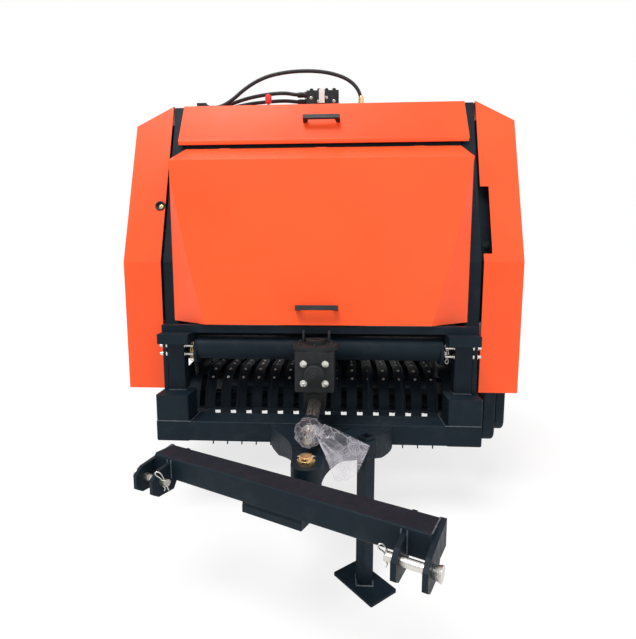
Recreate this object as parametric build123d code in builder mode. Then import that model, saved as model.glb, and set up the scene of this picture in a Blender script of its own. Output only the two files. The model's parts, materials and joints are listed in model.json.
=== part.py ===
from build123d import *
from math import atan2, cos, degrees, hypot, pi, radians, sin, tan
import os

os.makedirs("parts", exist_ok=True)

# Trailed in-line square baler, as it parks: on its two wheels and its drop leg.
# Millimetres, +Z up, the towing end at -Y. Lengths named _D lie behind the front
# face of the front beam, so a minus sign there means ahead of the beam.

# Stock and clearances
SHEET = 4
PLATE = 10
RUN_GAP = 8
PIN_GAP = 0.4
SEAT_GAP = 0.3

# Front frame: beam, corner boxes, posts, caps and the bar that the hood rests on
BEAM_HALF = 830
BEAM_DEPTH = 150
BEAM_LOW = 402
BEAM_HIGH = 508
BOX_WIDE = 170
BOX_HIGH = 644
POST_IN = 706
POST_WIDE = 92
POST_DEPTH = 66
POST_D = 100
FRAME_PIN_D = 114
FRAME_PIN_DIA = 18
CAP_IN = 650
CAP_OUT = 812
CAP_LOW = 910
CAP_THICK = 51
CAP_DEPTH = 166
REST_DEPTH = 44
REST_HIGH = 39
REST_D = 70

# Cross tube and front gearbox
TUBE_DIA = 125
TUBE_HALF = 645
TUBE_HIGH = 876
TUBE_D = 133
TUBE_FLANGE = 14
TUBE_COLLAR = 16
TUBE_COLLAR_DROP = 12
SPIGOT_DIA = 36
SPIGOT_D = 146
GEARBOX_WIDE = 186
GEARBOX_D = -150
GEARBOX_LOW = 716
GEARBOX_TOP = 905
FLANGE_DIA = 224
FLANGE_THICK = 24
TOP_BOSS_DIA = 98
TOP_BOSS_HIGH = 22
TOP_BOSS_BORE = 42
FRONT_BOSS_DIA = 72
FRONT_BOSS_LONG = 14
FRONT_BOSS_HIGH = 802

# Input shaft, with its ring stand on the tongue and its lower housing on the gearbox
SHAFT_HIGH = 650
SPLINE_D = -566
SPLINE_DIA = 35
SPLINE_LONG = 80
SHAFT_DIA = 60
STAND_DIA = 100
STAND_THICK = 44
HOUSING_DIA = 108
HOUSING_INSET = 36
HOUSING_BORE_DEPTH = 40

# Tongue, pivot bolt and drop-leg sleeve
PIVOT_D = -620
NOSE_HALF = 58
NOSE_LOW = 506
NOSE_HIGH = 582
TONGUE_LEFT = 235
TONGUE_RIGHT = 385
TONGUE_LOW = 408
BOLT_DIA = 42
NUT_DIA = 58
NUT_HIGH = 28

# Crossbar with its two clevises
BAR_YAW = 26
BAR_HIGH = 84
BAR_DEPTH = 100
BAR_AHEAD = 136
BAR_TOP = 598
HITCH_PLATE = 26
EAR_OUT = 548
EAR_IN = 447
EAR_THICK = 16
EAR_REACH = 88
EAR_DROP = 40
PIN_DIA = 28
PIN_AHEAD = 46
PIN_HIGH = 528
KNOB_DIA = 46
KNOB_LONG = 26
KNOB_FLARE = 6

# Drop leg
LEG_X = 228
LEG_D = -477
LEG_SIDE = 50
LEG_WALL = 5
LEG_TURN = 40
LEG_TOP = 640
SLEEVE_WALL = 6
SLEEVE_LOW = 556
SLEEVE_HIGH = 626
FOOT_LONG = 232
FOOT_WIDE = 140
FOOT_THICK = 12

# Bodywork: uprights, side covers, lid and hood
FOLD_HIGH = 1325
LEAN = 18
UPRIGHT_IN = 806
UPRIGHT_WIDE = 74
UPRIGHT_DEPTH = 46
UPRIGHT_SET = 14
COVER_IN = 888
COVER_OUT = 1100
COVER_D = 280
COVER_BACK_D = 1120
COVER_LOW = 603
COVER_SHOULDER = 2127
COVER_TOP = 2250
WINDOW_LOW = 1370
WINDOW_TALL = 372
WINDOW_WIDE = 46
RING_DIA = 48
RING_HIGH = 1645
RING_X = 918
LID_LOW = 2028
LID_HALF = 846
HANDLE_LONG = 214
HANDLE_BAR = 24
HANDLE_RISE = 46
HOOD_HALF = 793
HOOD_FOOT_HALF = 574
HOOD_BULGE = 16
HOOD_LOW = 1007
HOOD_D = 47
CREASE_D = 197
CREASE_HIGH = 1856
HOOD_SIDE_D = 212
HOOD_HINGE_D = 488
HOOD_HINGE_HIGH = 1980
DECK_BACK_D = 1400
DECK_BACK_HIGH = 1900

# Rails, axle and wheels
RAIL_IN = 700
RAIL_WIDE = 90
RAIL_HIGH = 100
RAIL_BACK_D = 2100
AXLE_D = 1750
AXLE_SIDE = 90
WHEEL_X = 955
TYRE_DIA = 760
TYRE_WIDE = 250
RIM_DIA = 400
HUB_DIA = 130
SPINDLE_DIA = 60

# Bale chamber and chute
BALE_WIDE = 460
BALE_HIGH = 360
CHAMBER_WALL = 8
CHAMBER_LOW = 800
CHAMBER_D = 960
CHAMBER_BACK_D = 3290
HOOP_DEPTH = 60
HOOP_RISE = 40
CHUTE_LONG = 560
CHUTE_SIDE = 150

# Pickup and feed auger
REEL_D = 590
REEL_HIGH = 450
TINE_REACH = 300
TINE_DIA = 7
TINE_COLUMNS = 16
TINE_BEND = 18
TINE_COIL = 44
TINE_BARS = 4
TINE_BAR_RADIUS = 140
TINE_BAR_DIA = 28
BAND_WIDE = 62
BAND_RADIUS = 225
CROP_HALF = 800
LIFT_D = 930
LIFT_HIGH = 700
AUGER_D = 1100
AUGER_HIGH = 560
AUGER_DIA = 280
AUGER_TUBE = 140

# The foremost and rearmost reaches set the origin halfway along the machine
EAR_TIP = BAR_AHEAD + BAR_DEPTH + EAR_REACH
FRONT_REACH = -PIVOT_D + EAR_TIP * cos(radians(BAR_YAW)) + EAR_OUT * sin(radians(BAR_YAW))
FACE = (FRONT_REACH - CHAMBER_BACK_D - CHUTE_LONG) / 2


def back(distance):
    """Y of something that lies this far behind the front beam's face."""
    return FACE + distance


def lean_d(height):
    """How far the leaning plane of covers, uprights and lid lies behind the beam face."""
    return COVER_D + (height - FOLD_HIGH) * tan(radians(LEAN))


def block(x, y, z, mode=Mode.ADD):
    """A straight bar, or a straight cut, between two corners of the piece being built."""
    with Locations(((x[0] + x[1]) / 2, (y[0] + y[1]) / 2, (z[0] + z[1]) / 2)):
        Box(abs(x[1] - x[0]), abs(y[1] - y[0]), abs(z[1] - z[0]), mode=mode)


def rod_x(diameter, x, y, z, mode=Mode.ADD):
    """A round bar or bore along X."""
    with Locations(Location(((x[0] + x[1]) / 2, y, z), (0, 90, 0))):
        Cylinder(diameter / 2, abs(x[1] - x[0]), mode=mode)


def rod_y(diameter, x, y, z, mode=Mode.ADD):
    """A round bar or bore along Y."""
    with Locations(Location((x, (y[0] + y[1]) / 2, z), (90, 0, 0))):
        Cylinder(diameter / 2, abs(y[1] - y[0]), mode=mode)


def rod_z(diameter, x, y, z, mode=Mode.ADD):
    """A round bar or bore along Z."""
    with Locations((x, y, (z[0] + z[1]) / 2)):
        Cylinder(diameter / 2, abs(z[1] - z[0]), mode=mode)


def finish(piece, label):
    piece.part.label = label
    export_step(piece.part, f"parts/{label}.step")


# Front frame
CAP_HIGH = CAP_LOW + CAP_THICK
REST_TOP = CAP_HIGH + REST_HIGH
PINS_HIGH = (TUBE_HIGH - FRAME_PIN_DIA * 2, TUBE_HIGH + FRAME_PIN_DIA / 2)

with BuildPart() as front_frame:
    with BuildSketch(Plane.YZ.offset(-BEAM_HALF)):
        with Locations((back(BEAM_DEPTH / 2), (BEAM_LOW + BEAM_HIGH) / 2)):
            RectangleRounded(BEAM_DEPTH, BEAM_HIGH - BEAM_LOW, 9)
    extrude(amount=2 * BEAM_HALF)
    for side in (-1, 1):
        box_x = side * (BEAM_HALF - BOX_WIDE / 2)
        post_x = side * (POST_IN + POST_WIDE / 2)
        cap_x = side * (CAP_IN + CAP_OUT) / 2
        with BuildSketch(Plane.XY.offset(BEAM_LOW)):
            with Locations((box_x, back(BEAM_DEPTH / 2))):
                RectangleRounded(BOX_WIDE, BEAM_DEPTH, 9)
        extrude(amount=BOX_HIGH - BEAM_LOW)
        with BuildSketch(Plane.XY.offset(BOX_HIGH)):
            with Locations((post_x, back(POST_D + POST_DEPTH / 2))):
                RectangleRounded(POST_WIDE, POST_DEPTH, 7)
        extrude(amount=CAP_LOW - BOX_HIGH)
        with BuildSketch(Plane.XY.offset(CAP_LOW)):
            with Locations((cap_x, back(CAP_DEPTH / 2))):
                RectangleRounded(CAP_OUT - CAP_IN, CAP_DEPTH, 7)
        extrude(amount=CAP_THICK)
    block((-CAP_OUT, CAP_OUT), (back(REST_D), back(REST_D + REST_DEPTH)),
          (CAP_HIGH, REST_TOP))
    for height in PINS_HIGH:
        for side in (-1, 1):
            rod_x(FRAME_PIN_DIA + 2 * SEAT_GAP, (side * (POST_IN - 1), side * (POST_IN + POST_WIDE + 1)),
                  back(FRAME_PIN_D), height, Mode.SUBTRACT)
finish(front_frame, "front_frame")

# Pins through the two posts, with their spring clips
with BuildPart() as post_pins:
    for side in (-1, 1):
        for height in PINS_HIGH:
            rod_x(FRAME_PIN_DIA, (side * (POST_IN - 46), side * (POST_IN + POST_WIDE + 16)),
                  back(FRAME_PIN_D), height)
            rod_x(FRAME_PIN_DIA + 12,
                  (side * (POST_IN + POST_WIDE + SEAT_GAP), side * (POST_IN + POST_WIDE + 8)),
                  back(FRAME_PIN_D), height)
finish(post_pins, "post_pins")

# Cross tube between the posts: flanged ends on smaller spigots
with BuildPart() as cross_tube:
    rod_x(TUBE_DIA, (-TUBE_HALF, TUBE_HALF), back(TUBE_D), TUBE_HIGH)
    rod_x(SPIGOT_DIA, (-POST_IN, POST_IN), back(SPIGOT_D), TUBE_HIGH)
    for side in (-1, 1):
        rod_x(TUBE_DIA + TUBE_COLLAR, (side * (TUBE_HALF - TUBE_FLANGE), side * TUBE_HALF), back(TUBE_D),
              TUBE_HIGH - TUBE_COLLAR_DROP)
finish(cross_tube, "cross_tube")

# Front gearbox hung on the tube: cast body, round top flange with its boss, front
# bearing boss, and the U-shaped lower housing that takes the input shaft
HOUSING_D = GEARBOX_D + HOUSING_INSET

with BuildPart() as gearbox:
    with BuildSketch(Plane.XY.offset(GEARBOX_LOW)):
        with Locations((0, back((GEARBOX_D + TUBE_D) / 2))):
            RectangleRounded(GEARBOX_WIDE, TUBE_D - GEARBOX_D, 14)
    extrude(amount=GEARBOX_TOP - GEARBOX_LOW)
    with BuildSketch(Plane.XY.offset(GEARBOX_TOP)):
        with Locations((0, back(GEARBOX_D + FLANGE_DIA / 2))):
            Circle(FLANGE_DIA / 2)
    extrude(amount=FLANGE_THICK)
    with BuildSketch(Plane.XY.offset(GEARBOX_TOP + FLANGE_THICK)):
        with Locations((0, back(GEARBOX_D + FLANGE_DIA / 2))):
            Circle(TOP_BOSS_DIA / 2)
            Circle(TOP_BOSS_BORE / 2, mode=Mode.SUBTRACT)
    extrude(amount=TOP_BOSS_HIGH)
    rod_y(FRONT_BOSS_DIA, 0, (back(GEARBOX_D - FRONT_BOSS_LONG), back(GEARBOX_D)), FRONT_BOSS_HIGH)
    rod_y(HOUSING_DIA, 0, (back(HOUSING_D), back(TUBE_D)), SHAFT_HIGH)
    block((-HOUSING_DIA / 2, HOUSING_DIA / 2), (back(HOUSING_D), back(TUBE_D)), (SHAFT_HIGH, GEARBOX_LOW))
    rod_y(SHAFT_DIA + 2 * PIN_GAP, 0, (back(HOUSING_D), back(HOUSING_D + HOUSING_BORE_DEPTH)), SHAFT_HIGH,
          Mode.SUBTRACT)
    rod_x(TUBE_DIA, (-FLANGE_DIA, FLANGE_DIA), back(TUBE_D), TUBE_HIGH, Mode.SUBTRACT)
    block((-FLANGE_DIA, FLANGE_DIA), (back(TUBE_D), back(TUBE_D + TUBE_DIA)),
          (SHAFT_HIGH - HOUSING_DIA, REST_TOP),
          Mode.SUBTRACT)
finish(gearbox, "gearbox")

# Input shaft, splined at its free end
with BuildPart() as input_shaft:
    rod_y(SPLINE_DIA, 0, (back(SPLINE_D), back(SPLINE_D + SPLINE_LONG)), SHAFT_HIGH)
    rod_y(SHAFT_DIA, 0, (back(SPLINE_D + SPLINE_LONG), back(HOUSING_D + HOUSING_BORE_DEPTH - 2)), SHAFT_HIGH)
finish(input_shaft, "input_shaft")

# Tongue: a deep tapering nose, flat on top, curving out to the beam, open between its arms
TONGUE_PLAN = [
    (-NOSE_HALF, PIVOT_D),
    (-83, -420),
    (-145, -240),
    (-195, -130),
    (-TONGUE_LEFT, 0),
]
TONGUE_PLAN_RIGHT = [
    (TONGUE_RIGHT, 0),
    (268, -263),
    (130, -430),
    (NOSE_HALF, PIVOT_D),
]

with BuildPart() as tongue:
    with BuildSketch(Plane.XY.offset(TONGUE_LOW)):
        with BuildLine():
            Spline(*[(x, back(d)) for x, d in TONGUE_PLAN])
            Line((-TONGUE_LEFT, back(0)), (TONGUE_RIGHT, back(0)))
            Spline(*[(x, back(d)) for x, d in TONGUE_PLAN_RIGHT])
            ThreePointArc((NOSE_HALF, back(PIVOT_D)), (0, back(PIVOT_D - NOSE_HALF)),
                          (-NOSE_HALF, back(PIVOT_D)))
        make_face()
        with BuildLine():
            Polyline((-30, back(-330)), (-110, back(-60)), (190, back(-60)), (60, back(-330)), close=True)
        make_face(mode=Mode.SUBTRACT)
    extrude(amount=NOSE_HIGH - TONGUE_LOW)
    with BuildSketch(Plane.YZ.offset(-2 * BEAM_HALF)):
        with BuildLine():
            Polyline((back(0), TONGUE_LOW), (back(-200), TONGUE_LOW + 16), (back(-430), NOSE_LOW),
                     (back(PIVOT_D - NOSE_HALF), NOSE_LOW), (back(PIVOT_D - NOSE_HALF), NOSE_HIGH),
                     (back(-470), NOSE_HIGH), (back(0), BEAM_HIGH - 4), close=True)
        make_face()
    extrude(amount=4 * BEAM_HALF, mode=Mode.INTERSECT)
    with BuildSketch(Plane.XY.offset(SLEEVE_LOW)):
        with BuildLine():
            Polyline((80, back(-520)), (LEG_X, back(LEG_D - 45)), (LEG_X + 45, back(LEG_D)),
                     (LEG_X + 20, back(-330)), (150, back(-330)), close=True)
        make_face()
    extrude(amount=NOSE_HIGH - SLEEVE_LOW - 12)
    with BuildSketch(Plane.XY.offset(SLEEVE_LOW)):
        with Locations(Location((LEG_X, back(LEG_D)), LEG_TURN)):
            RectangleRounded(LEG_SIDE + 2 * SLEEVE_WALL, LEG_SIDE + 2 * SLEEVE_WALL, 6)
    extrude(amount=SLEEVE_HIGH - SLEEVE_LOW)
    with BuildSketch(Plane.XY.offset(SLEEVE_LOW - 60)):
        with Locations(Location((LEG_X, back(LEG_D)), LEG_TURN)):
            Rectangle(LEG_SIDE + 2 * SEAT_GAP, LEG_SIDE + 2 * SEAT_GAP)
    extrude(amount=SLEEVE_HIGH - SLEEVE_LOW + 120, mode=Mode.SUBTRACT)
    rod_z(BOLT_DIA + 2 * SEAT_GAP, 0, back(PIVOT_D), (NOSE_LOW - 10, NOSE_HIGH + 10), Mode.SUBTRACT)
finish(tongue, "tongue")

# Ring stand for the input shaft, on the tongue's flat top
STAND_D = SPLINE_D + SPLINE_LONG + 24
with BuildPart() as shaft_stand:
    with BuildSketch(Plane.XZ.offset(-back(STAND_D))):
        with Locations((0, SHAFT_HIGH)):
            Circle(STAND_DIA / 2)
        with Locations((0, (NOSE_HIGH + SHAFT_HIGH) / 2)):
            Rectangle(STAND_DIA * 0.8, SHAFT_HIGH - NOSE_HIGH)
        with Locations((0, SHAFT_HIGH)):
            Circle(SHAFT_DIA / 2 + PIN_GAP, mode=Mode.SUBTRACT)
    extrude(amount=-STAND_THICK)
finish(shaft_stand, "shaft_stand")

# Pivot bolt with its castle nut on top and its head below the hitch plate
HITCH_PLATE_TOP = NOSE_LOW - 4
HITCH_PLATE_LOW = HITCH_PLATE_TOP - HITCH_PLATE

with BuildPart() as pivot_bolt:
    rod_z(BOLT_DIA, 0, back(PIVOT_D), (HITCH_PLATE_LOW - 4, NOSE_HIGH + NUT_HIGH + 4))
    with BuildSketch(Plane.XY.offset(HITCH_PLATE_LOW - 4)):
        with Locations((0, back(PIVOT_D))):
            RegularPolygon(NUT_DIA / 2, 6, major_radius=False)
    extrude(amount=-24)
    with BuildSketch(Plane.XY.offset(NOSE_HIGH)):
        with Locations((0, back(PIVOT_D))):
            RegularPolygon(NUT_DIA / 2, 6, major_radius=False)
    extrude(amount=NUT_HIGH * 0.62)
    rod_z(NUT_DIA * 0.92, 0, back(PIVOT_D), (NOSE_HIGH, NOSE_HIGH + NUT_HIGH))
finish(pivot_bolt, "pivot_bolt")

# Crossbar: square tube on a hitch plate that turns on the pivot bolt, one clevis at each end
BAR_PLANE = Plane(origin=(0, back(PIVOT_D), 0), x_dir=(cos(radians(BAR_YAW)), -sin(radians(BAR_YAW)), 0),
                  z_dir=(0, 0, 1))
BAR_LOW = BAR_TOP - BAR_HIGH
BAR_FRONT = -BAR_AHEAD - BAR_DEPTH
EAR_FRONT = BAR_FRONT - EAR_REACH
PIN_V = BAR_FRONT - PIN_AHEAD

with BuildPart() as crossbar:
    with BuildSketch(BAR_PLANE.offset(BAR_LOW)):
        with Locations((0, -BAR_AHEAD - BAR_DEPTH / 2)):
            Rectangle(2 * (EAR_OUT - EAR_THICK), BAR_DEPTH)
    extrude(amount=BAR_HIGH)
    fillet(crossbar.edges().filter_by(lambda e: e.length > EAR_OUT), 8)
    with BuildSketch(BAR_PLANE.offset(HITCH_PLATE_LOW)):
        with BuildLine():
            Polyline((-NOSE_HALF, 0), (-NOSE_HALF - 60, -BAR_AHEAD), (-NOSE_HALF - 60, BAR_FRONT + 6),
                     (NOSE_HALF + 60, BAR_FRONT + 6), (NOSE_HALF + 60, -BAR_AHEAD), (NOSE_HALF, 0))
            ThreePointArc((NOSE_HALF, 0), (0, NOSE_HALF), (-NOSE_HALF, 0))
        make_face()
    extrude(amount=HITCH_PLATE)
    with BuildSketch(BAR_PLANE.offset(HITCH_PLATE_TOP)):
        with Locations((0, (-BAR_AHEAD + BAR_FRONT) / 2)):
            Rectangle(2 * NOSE_HALF + 120, BAR_DEPTH - 16)
    extrude(amount=BAR_LOW - HITCH_PLATE_TOP + 8)
    with BuildSketch(BAR_PLANE.offset(HITCH_PLATE_LOW)):
        Circle(BOLT_DIA / 2 + PIN_GAP)
    extrude(amount=HITCH_PLATE, mode=Mode.SUBTRACT)
    for side in (-1, 1):
        for u in (EAR_OUT - EAR_THICK, EAR_IN):
            start = u if side > 0 else -u - EAR_THICK
            ear_plane = Plane(origin=BAR_PLANE.from_local_coords((start, 0, 0)),
                              x_dir=BAR_PLANE.y_dir, z_dir=BAR_PLANE.x_dir)
            with BuildSketch(ear_plane):
                with BuildLine():
                    Polyline((-BAR_AHEAD, BAR_TOP), (EAR_FRONT + 30, BAR_TOP - 28),
                             (EAR_FRONT, BAR_TOP - 54), (EAR_FRONT, PIN_HIGH - 36),
                             (EAR_FRONT + 26, BAR_LOW - EAR_DROP), (BAR_FRONT + 10, BAR_LOW - EAR_DROP),
                             (BAR_FRONT + 34, BAR_LOW), (-BAR_AHEAD, BAR_LOW), close=True)
                make_face()
                with Locations((PIN_V, PIN_HIGH)):
                    Circle(PIN_DIA / 2 + PIN_GAP, mode=Mode.SUBTRACT)
            extrude(amount=EAR_THICK)
finish(crossbar, "crossbar")

# Hitch pins across the clevises, with a flared knob outside and a cross hole for the clip
with BuildPart() as hitch_pins:
    for side in (-1, 1):
        pin_plane = Plane(origin=BAR_PLANE.from_local_coords((side * (EAR_IN - 30), PIN_V, PIN_HIGH)),
                          x_dir=BAR_PLANE.y_dir, z_dir=BAR_PLANE.x_dir * side)
        with BuildSketch(pin_plane):
            Circle(PIN_DIA / 2)
        extrude(amount=EAR_OUT - EAR_IN + 30 + 6)
        with BuildSketch(pin_plane.offset(EAR_OUT - EAR_IN + 30 + SEAT_GAP)):
            Circle(KNOB_DIA / 2 - KNOB_FLARE)
        extrude(amount=KNOB_LONG, taper=-degrees(atan2(KNOB_FLARE, KNOB_LONG)))
finish(hitch_pins, "hitch_pins")

# Drop leg: square tube in the tongue's sleeve, plate foot flat on the ground
with BuildPart() as drop_leg:
    with BuildSketch(Plane.XY):
        with Locations(Location((LEG_X, back(LEG_D)), LEG_TURN)):
            RectangleRounded(FOOT_WIDE, FOOT_LONG, 6)
    extrude(amount=FOOT_THICK)
    with BuildSketch(Plane.XY.offset(FOOT_THICK)):
        with Locations(Location((LEG_X, back(LEG_D)), LEG_TURN)):
            Rectangle(LEG_SIDE, LEG_SIDE)
            Rectangle(LEG_SIDE - 2 * LEG_WALL, LEG_SIDE - 2 * LEG_WALL, mode=Mode.SUBTRACT)
    extrude(amount=LEG_TOP - FOOT_THICK)
finish(drop_leg, "drop_leg")


# Bodywork and the frames behind it
RAIL_LOW = CAP_HIGH - RAIL_HIGH
DECK_LOW = COVER_TOP - SHEET
POST_BACK_D = COVER_BACK_D - UPRIGHT_DEPTH - 20
TWINE_OUT = COVER_OUT - 24
TWINE_D = 524
TWINE_BACK_D = 1030
TWINE_TALL = 820
TWINE_ARM_HIGH = 40
TWINE_ARMS_D = (TWINE_D + 40, TWINE_BACK_D - 80)
HINGE_X = COVER_OUT - 14
HINGE_D = COVER_BACK_D + 20
HINGE_PIN_DIA = 12
HINGE_ARM = 16
HINGE_KNUCKLE = 60
HINGE_HIGHS = (CAP_HIGH + 40, COVER_SHOULDER - 260)

def side_frame(side):
    """Upper rail with the bent upright, the rear post, the top bar and the arms and hinges they carry."""
    with BuildPart() as frame:
        rail = (side * RAIL_IN, side * (RAIL_IN + RAIL_WIDE))
        outer = (side * UPRIGHT_IN, side * (UPRIGHT_IN + UPRIGHT_WIDE))
        front = COVER_D + UPRIGHT_SET
        block(rail, (back(CAP_DEPTH), back(RAIL_BACK_D)), (RAIL_LOW, CAP_HIGH))
        for distance in (front, POST_BACK_D):
            block((rail[1], outer[1]), (back(distance), back(distance + UPRIGHT_DEPTH)), (RAIL_LOW, CAP_HIGH))
        with BuildSketch(Plane.YZ.offset(min(outer))):
            with BuildLine():
                top = DECK_LOW - UPRIGHT_DEPTH
                Polyline((back(front), RAIL_LOW), (back(front), FOLD_HIGH),
                         (back(lean_d(DECK_LOW) + UPRIGHT_SET), DECK_LOW),
                         (back(POST_BACK_D + UPRIGHT_DEPTH), DECK_LOW),
                         (back(POST_BACK_D + UPRIGHT_DEPTH), RAIL_LOW), (back(POST_BACK_D), RAIL_LOW),
                         (back(POST_BACK_D), top), (back(lean_d(top) + UPRIGHT_SET + UPRIGHT_DEPTH), top),
                         (back(front + UPRIGHT_DEPTH), FOLD_HIGH), (back(front + UPRIGHT_DEPTH), RAIL_LOW),
                         close=True)
            make_face()
        extrude(amount=UPRIGHT_WIDE)
        for distance in TWINE_ARMS_D:
            block((side * (RAIL_IN + 10), side * (TWINE_OUT - 10)), (back(distance), back(distance + 40)),
                  (CAP_HIGH, CAP_HIGH + TWINE_ARM_HIGH))
        for height in HINGE_HIGHS:
            block(outer, (back(POST_BACK_D + UPRIGHT_DEPTH), back(HINGE_D + 12)),
                  (height - HINGE_ARM, height))
            block((outer[0], side * (HINGE_X + 12)), (back(HINGE_D - 10), back(HINGE_D + 12)),
                  (height - HINGE_ARM, height))
            rod_z(HINGE_PIN_DIA, side * HINGE_X, back(HINGE_D), (height, height + HINGE_KNUCKLE + 6))
    return frame


for side, word in ((-1, "left"), (1, "right")):
    finish(side_frame(side), f"side_frame_{word}")


def side_cover(side, windowed):
    """Folded sheet cover: front face with its fold, roof slope and outer side, open behind and inside."""
    with BuildPart() as cover:
        start = COVER_IN if side > 0 else -COVER_OUT
        with BuildSketch(Plane.YZ.offset(start)):
            with BuildLine():
                Polyline((back(COVER_D), COVER_LOW), (back(COVER_D), FOLD_HIGH),
                         (back(lean_d(COVER_TOP)), COVER_TOP), (back(COVER_BACK_D), COVER_TOP),
                         (back(COVER_BACK_D), COVER_LOW), close=True)
            make_face()
        extrude(amount=COVER_OUT - COVER_IN)
        with BuildSketch(Plane.XZ.offset(-back(COVER_BACK_D + 10))):
            with BuildLine():
                Polyline((side * COVER_IN, COVER_TOP), (side * COVER_OUT, COVER_SHOULDER),
                         (side * COVER_OUT, COVER_TOP + 50), (side * COVER_IN, COVER_TOP + 50), close=True)
            make_face()
        extrude(amount=COVER_BACK_D + 100, mode=Mode.SUBTRACT)
        inner = cover.faces().filter_by(Axis.X).sort_by(Axis.X)[0 if side > 0 else -1]
        rear = cover.faces().filter_by(Axis.Y).sort_by(Axis.Y)[-1]
        bottom = cover.faces().filter_by(Axis.Z).sort_by(Axis.Z)[0]
        offset(amount=-SHEET, openings=[inner, rear, bottom])
        if not windowed:
            rod_y(RING_DIA, side * RING_X, (back(COVER_D), back(lean_d(COVER_TOP))), RING_HIGH, Mode.SUBTRACT)
        if windowed:
            block((side * (COVER_IN - 1), side * (COVER_IN + WINDOW_WIDE)),
                  (back(COVER_D - 20), back(COVER_D + 300)), (WINDOW_LOW, WINDOW_LOW + WINDOW_TALL),
                  Mode.SUBTRACT)
        for height in HINGE_HIGHS:
            span = (height + SEAT_GAP, height + HINGE_KNUCKLE)
            rod_z(HINGE_PIN_DIA + 12, side * HINGE_X, back(HINGE_D), span)
            block((side * (COVER_OUT - SHEET), side * COVER_OUT),
                  (back(COVER_BACK_D - 40), back(HINGE_D)), span)
            rod_z(HINGE_PIN_DIA + 2 * PIN_GAP, side * HINGE_X, back(HINGE_D), span, Mode.SUBTRACT)
    return cover


finish(side_cover(-1, False), "side_cover_left")
finish(side_cover(1, True), "side_cover_right")

# Lid: flat panel on the leaning plane, with a turned-out lower lip
LEAN_PLANE = Plane(origin=(0, back(lean_d(LID_LOW)), LID_LOW), x_dir=(1, 0, 0),
                   z_dir=(0, -cos(radians(LEAN)), sin(radians(LEAN))))
LID_TALL = (COVER_TOP - LID_LOW) / cos(radians(LEAN))
ROD_DIA = 12
KNUCKLE_DIA = 20
KNUCKLE_LONG = 60
KNUCKLES_X = (-560, 0, 560)
LID_ROD_D = lean_d(COVER_TOP) + 10
LID_ROD_HIGH = COVER_TOP - 8
HOOD_ROD_D = HOOD_HINGE_D + 14
HOOD_ROD_HIGH = HOOD_HINGE_HIGH - 9

with BuildPart() as lid:
    with BuildSketch(LEAN_PLANE):
        with Locations((0, LID_TALL / 2)):
            Trapezoid(2 * LID_HALF, LID_TALL, 85)
    extrude(amount=-SHEET)
    with BuildSketch(LEAN_PLANE):
        with Locations((0, 8)):
            Rectangle(2 * LID_HALF - 30, 12)
    extrude(amount=10)
    for x in KNUCKLES_X:
        rod_x(KNUCKLE_DIA, (x - KNUCKLE_LONG / 2, x + KNUCKLE_LONG / 2), back(LID_ROD_D), LID_ROD_HIGH)
    rod_x(ROD_DIA + 2 * PIN_GAP, (-LID_HALF, LID_HALF), back(LID_ROD_D), LID_ROD_HIGH, Mode.SUBTRACT)
finish(lid, "lid")


def bridge_handle(plane, x, y):
    """Bridge handle: a bar on two feet, standing on a plane at local x, y."""
    with BuildPart() as handle:
        with BuildSketch(Plane(origin=plane.from_local_coords((x, y - HANDLE_BAR / 2, SEAT_GAP)),
                               x_dir=plane.x_dir, z_dir=-plane.y_dir)):
            with BuildLine():
                half = HANDLE_LONG / 2
                Polyline((-half, 0), (-half, HANDLE_RISE), (half, HANDLE_RISE), (half, 0),
                         (half - 20, 0), (half - 30, HANDLE_RISE - 14),
                         (-half + 30, HANDLE_RISE - 14), (-half + 20, 0), close=True)
            make_face()
        extrude(amount=-HANDLE_BAR)
    return handle


finish(bridge_handle(LEAN_PLANE, 0, LID_TALL * 0.52), "lid_handle")

# Hood: front panel narrowing downward between two flaps, under a chamfer that carries the hinge
HOOD_TALL = hypot(CREASE_HIGH - HOOD_LOW, CREASE_D - HOOD_D)


def hood_body(inset):
    """Solid inside the hood's front panel and flaps, drawn in by a sheet's thickness."""
    front = Plane(origin=(0, back(HOOD_D + inset), HOOD_LOW), x_dir=(1, 0, 0),
                  z_dir=(0, -(CREASE_HIGH - HOOD_LOW), CREASE_D - HOOD_D))
    tall = HOOD_TALL
    mid = (HOOD_HALF + HOOD_FOOT_HALF) / 2 + HOOD_BULGE - inset
    with BuildPart() as body:
        with BuildSketch(front):
            with BuildLine():
                foot, top = HOOD_FOOT_HALF - inset, HOOD_HALF - inset
                Line((-foot, 0), (foot, 0))
                ThreePointArc((foot, 0), (mid, tall / 2), (top, tall))
                Line((top, tall), (-top, tall))
                ThreePointArc((-top, tall), (-mid, tall / 2), (-foot, 0))
            make_face()
        with BuildSketch(Plane.XZ.offset(-back(HOOD_SIDE_D + 2 * inset))):
            with BuildLine():
                half = HOOD_HALF - inset
                Polyline((-half, HOOD_LOW), (half, HOOD_LOW), (half, CREASE_HIGH), (-half, CREASE_HIGH),
                         close=True)
            make_face()
        loft(ruled=True)
    return body.part


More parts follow.
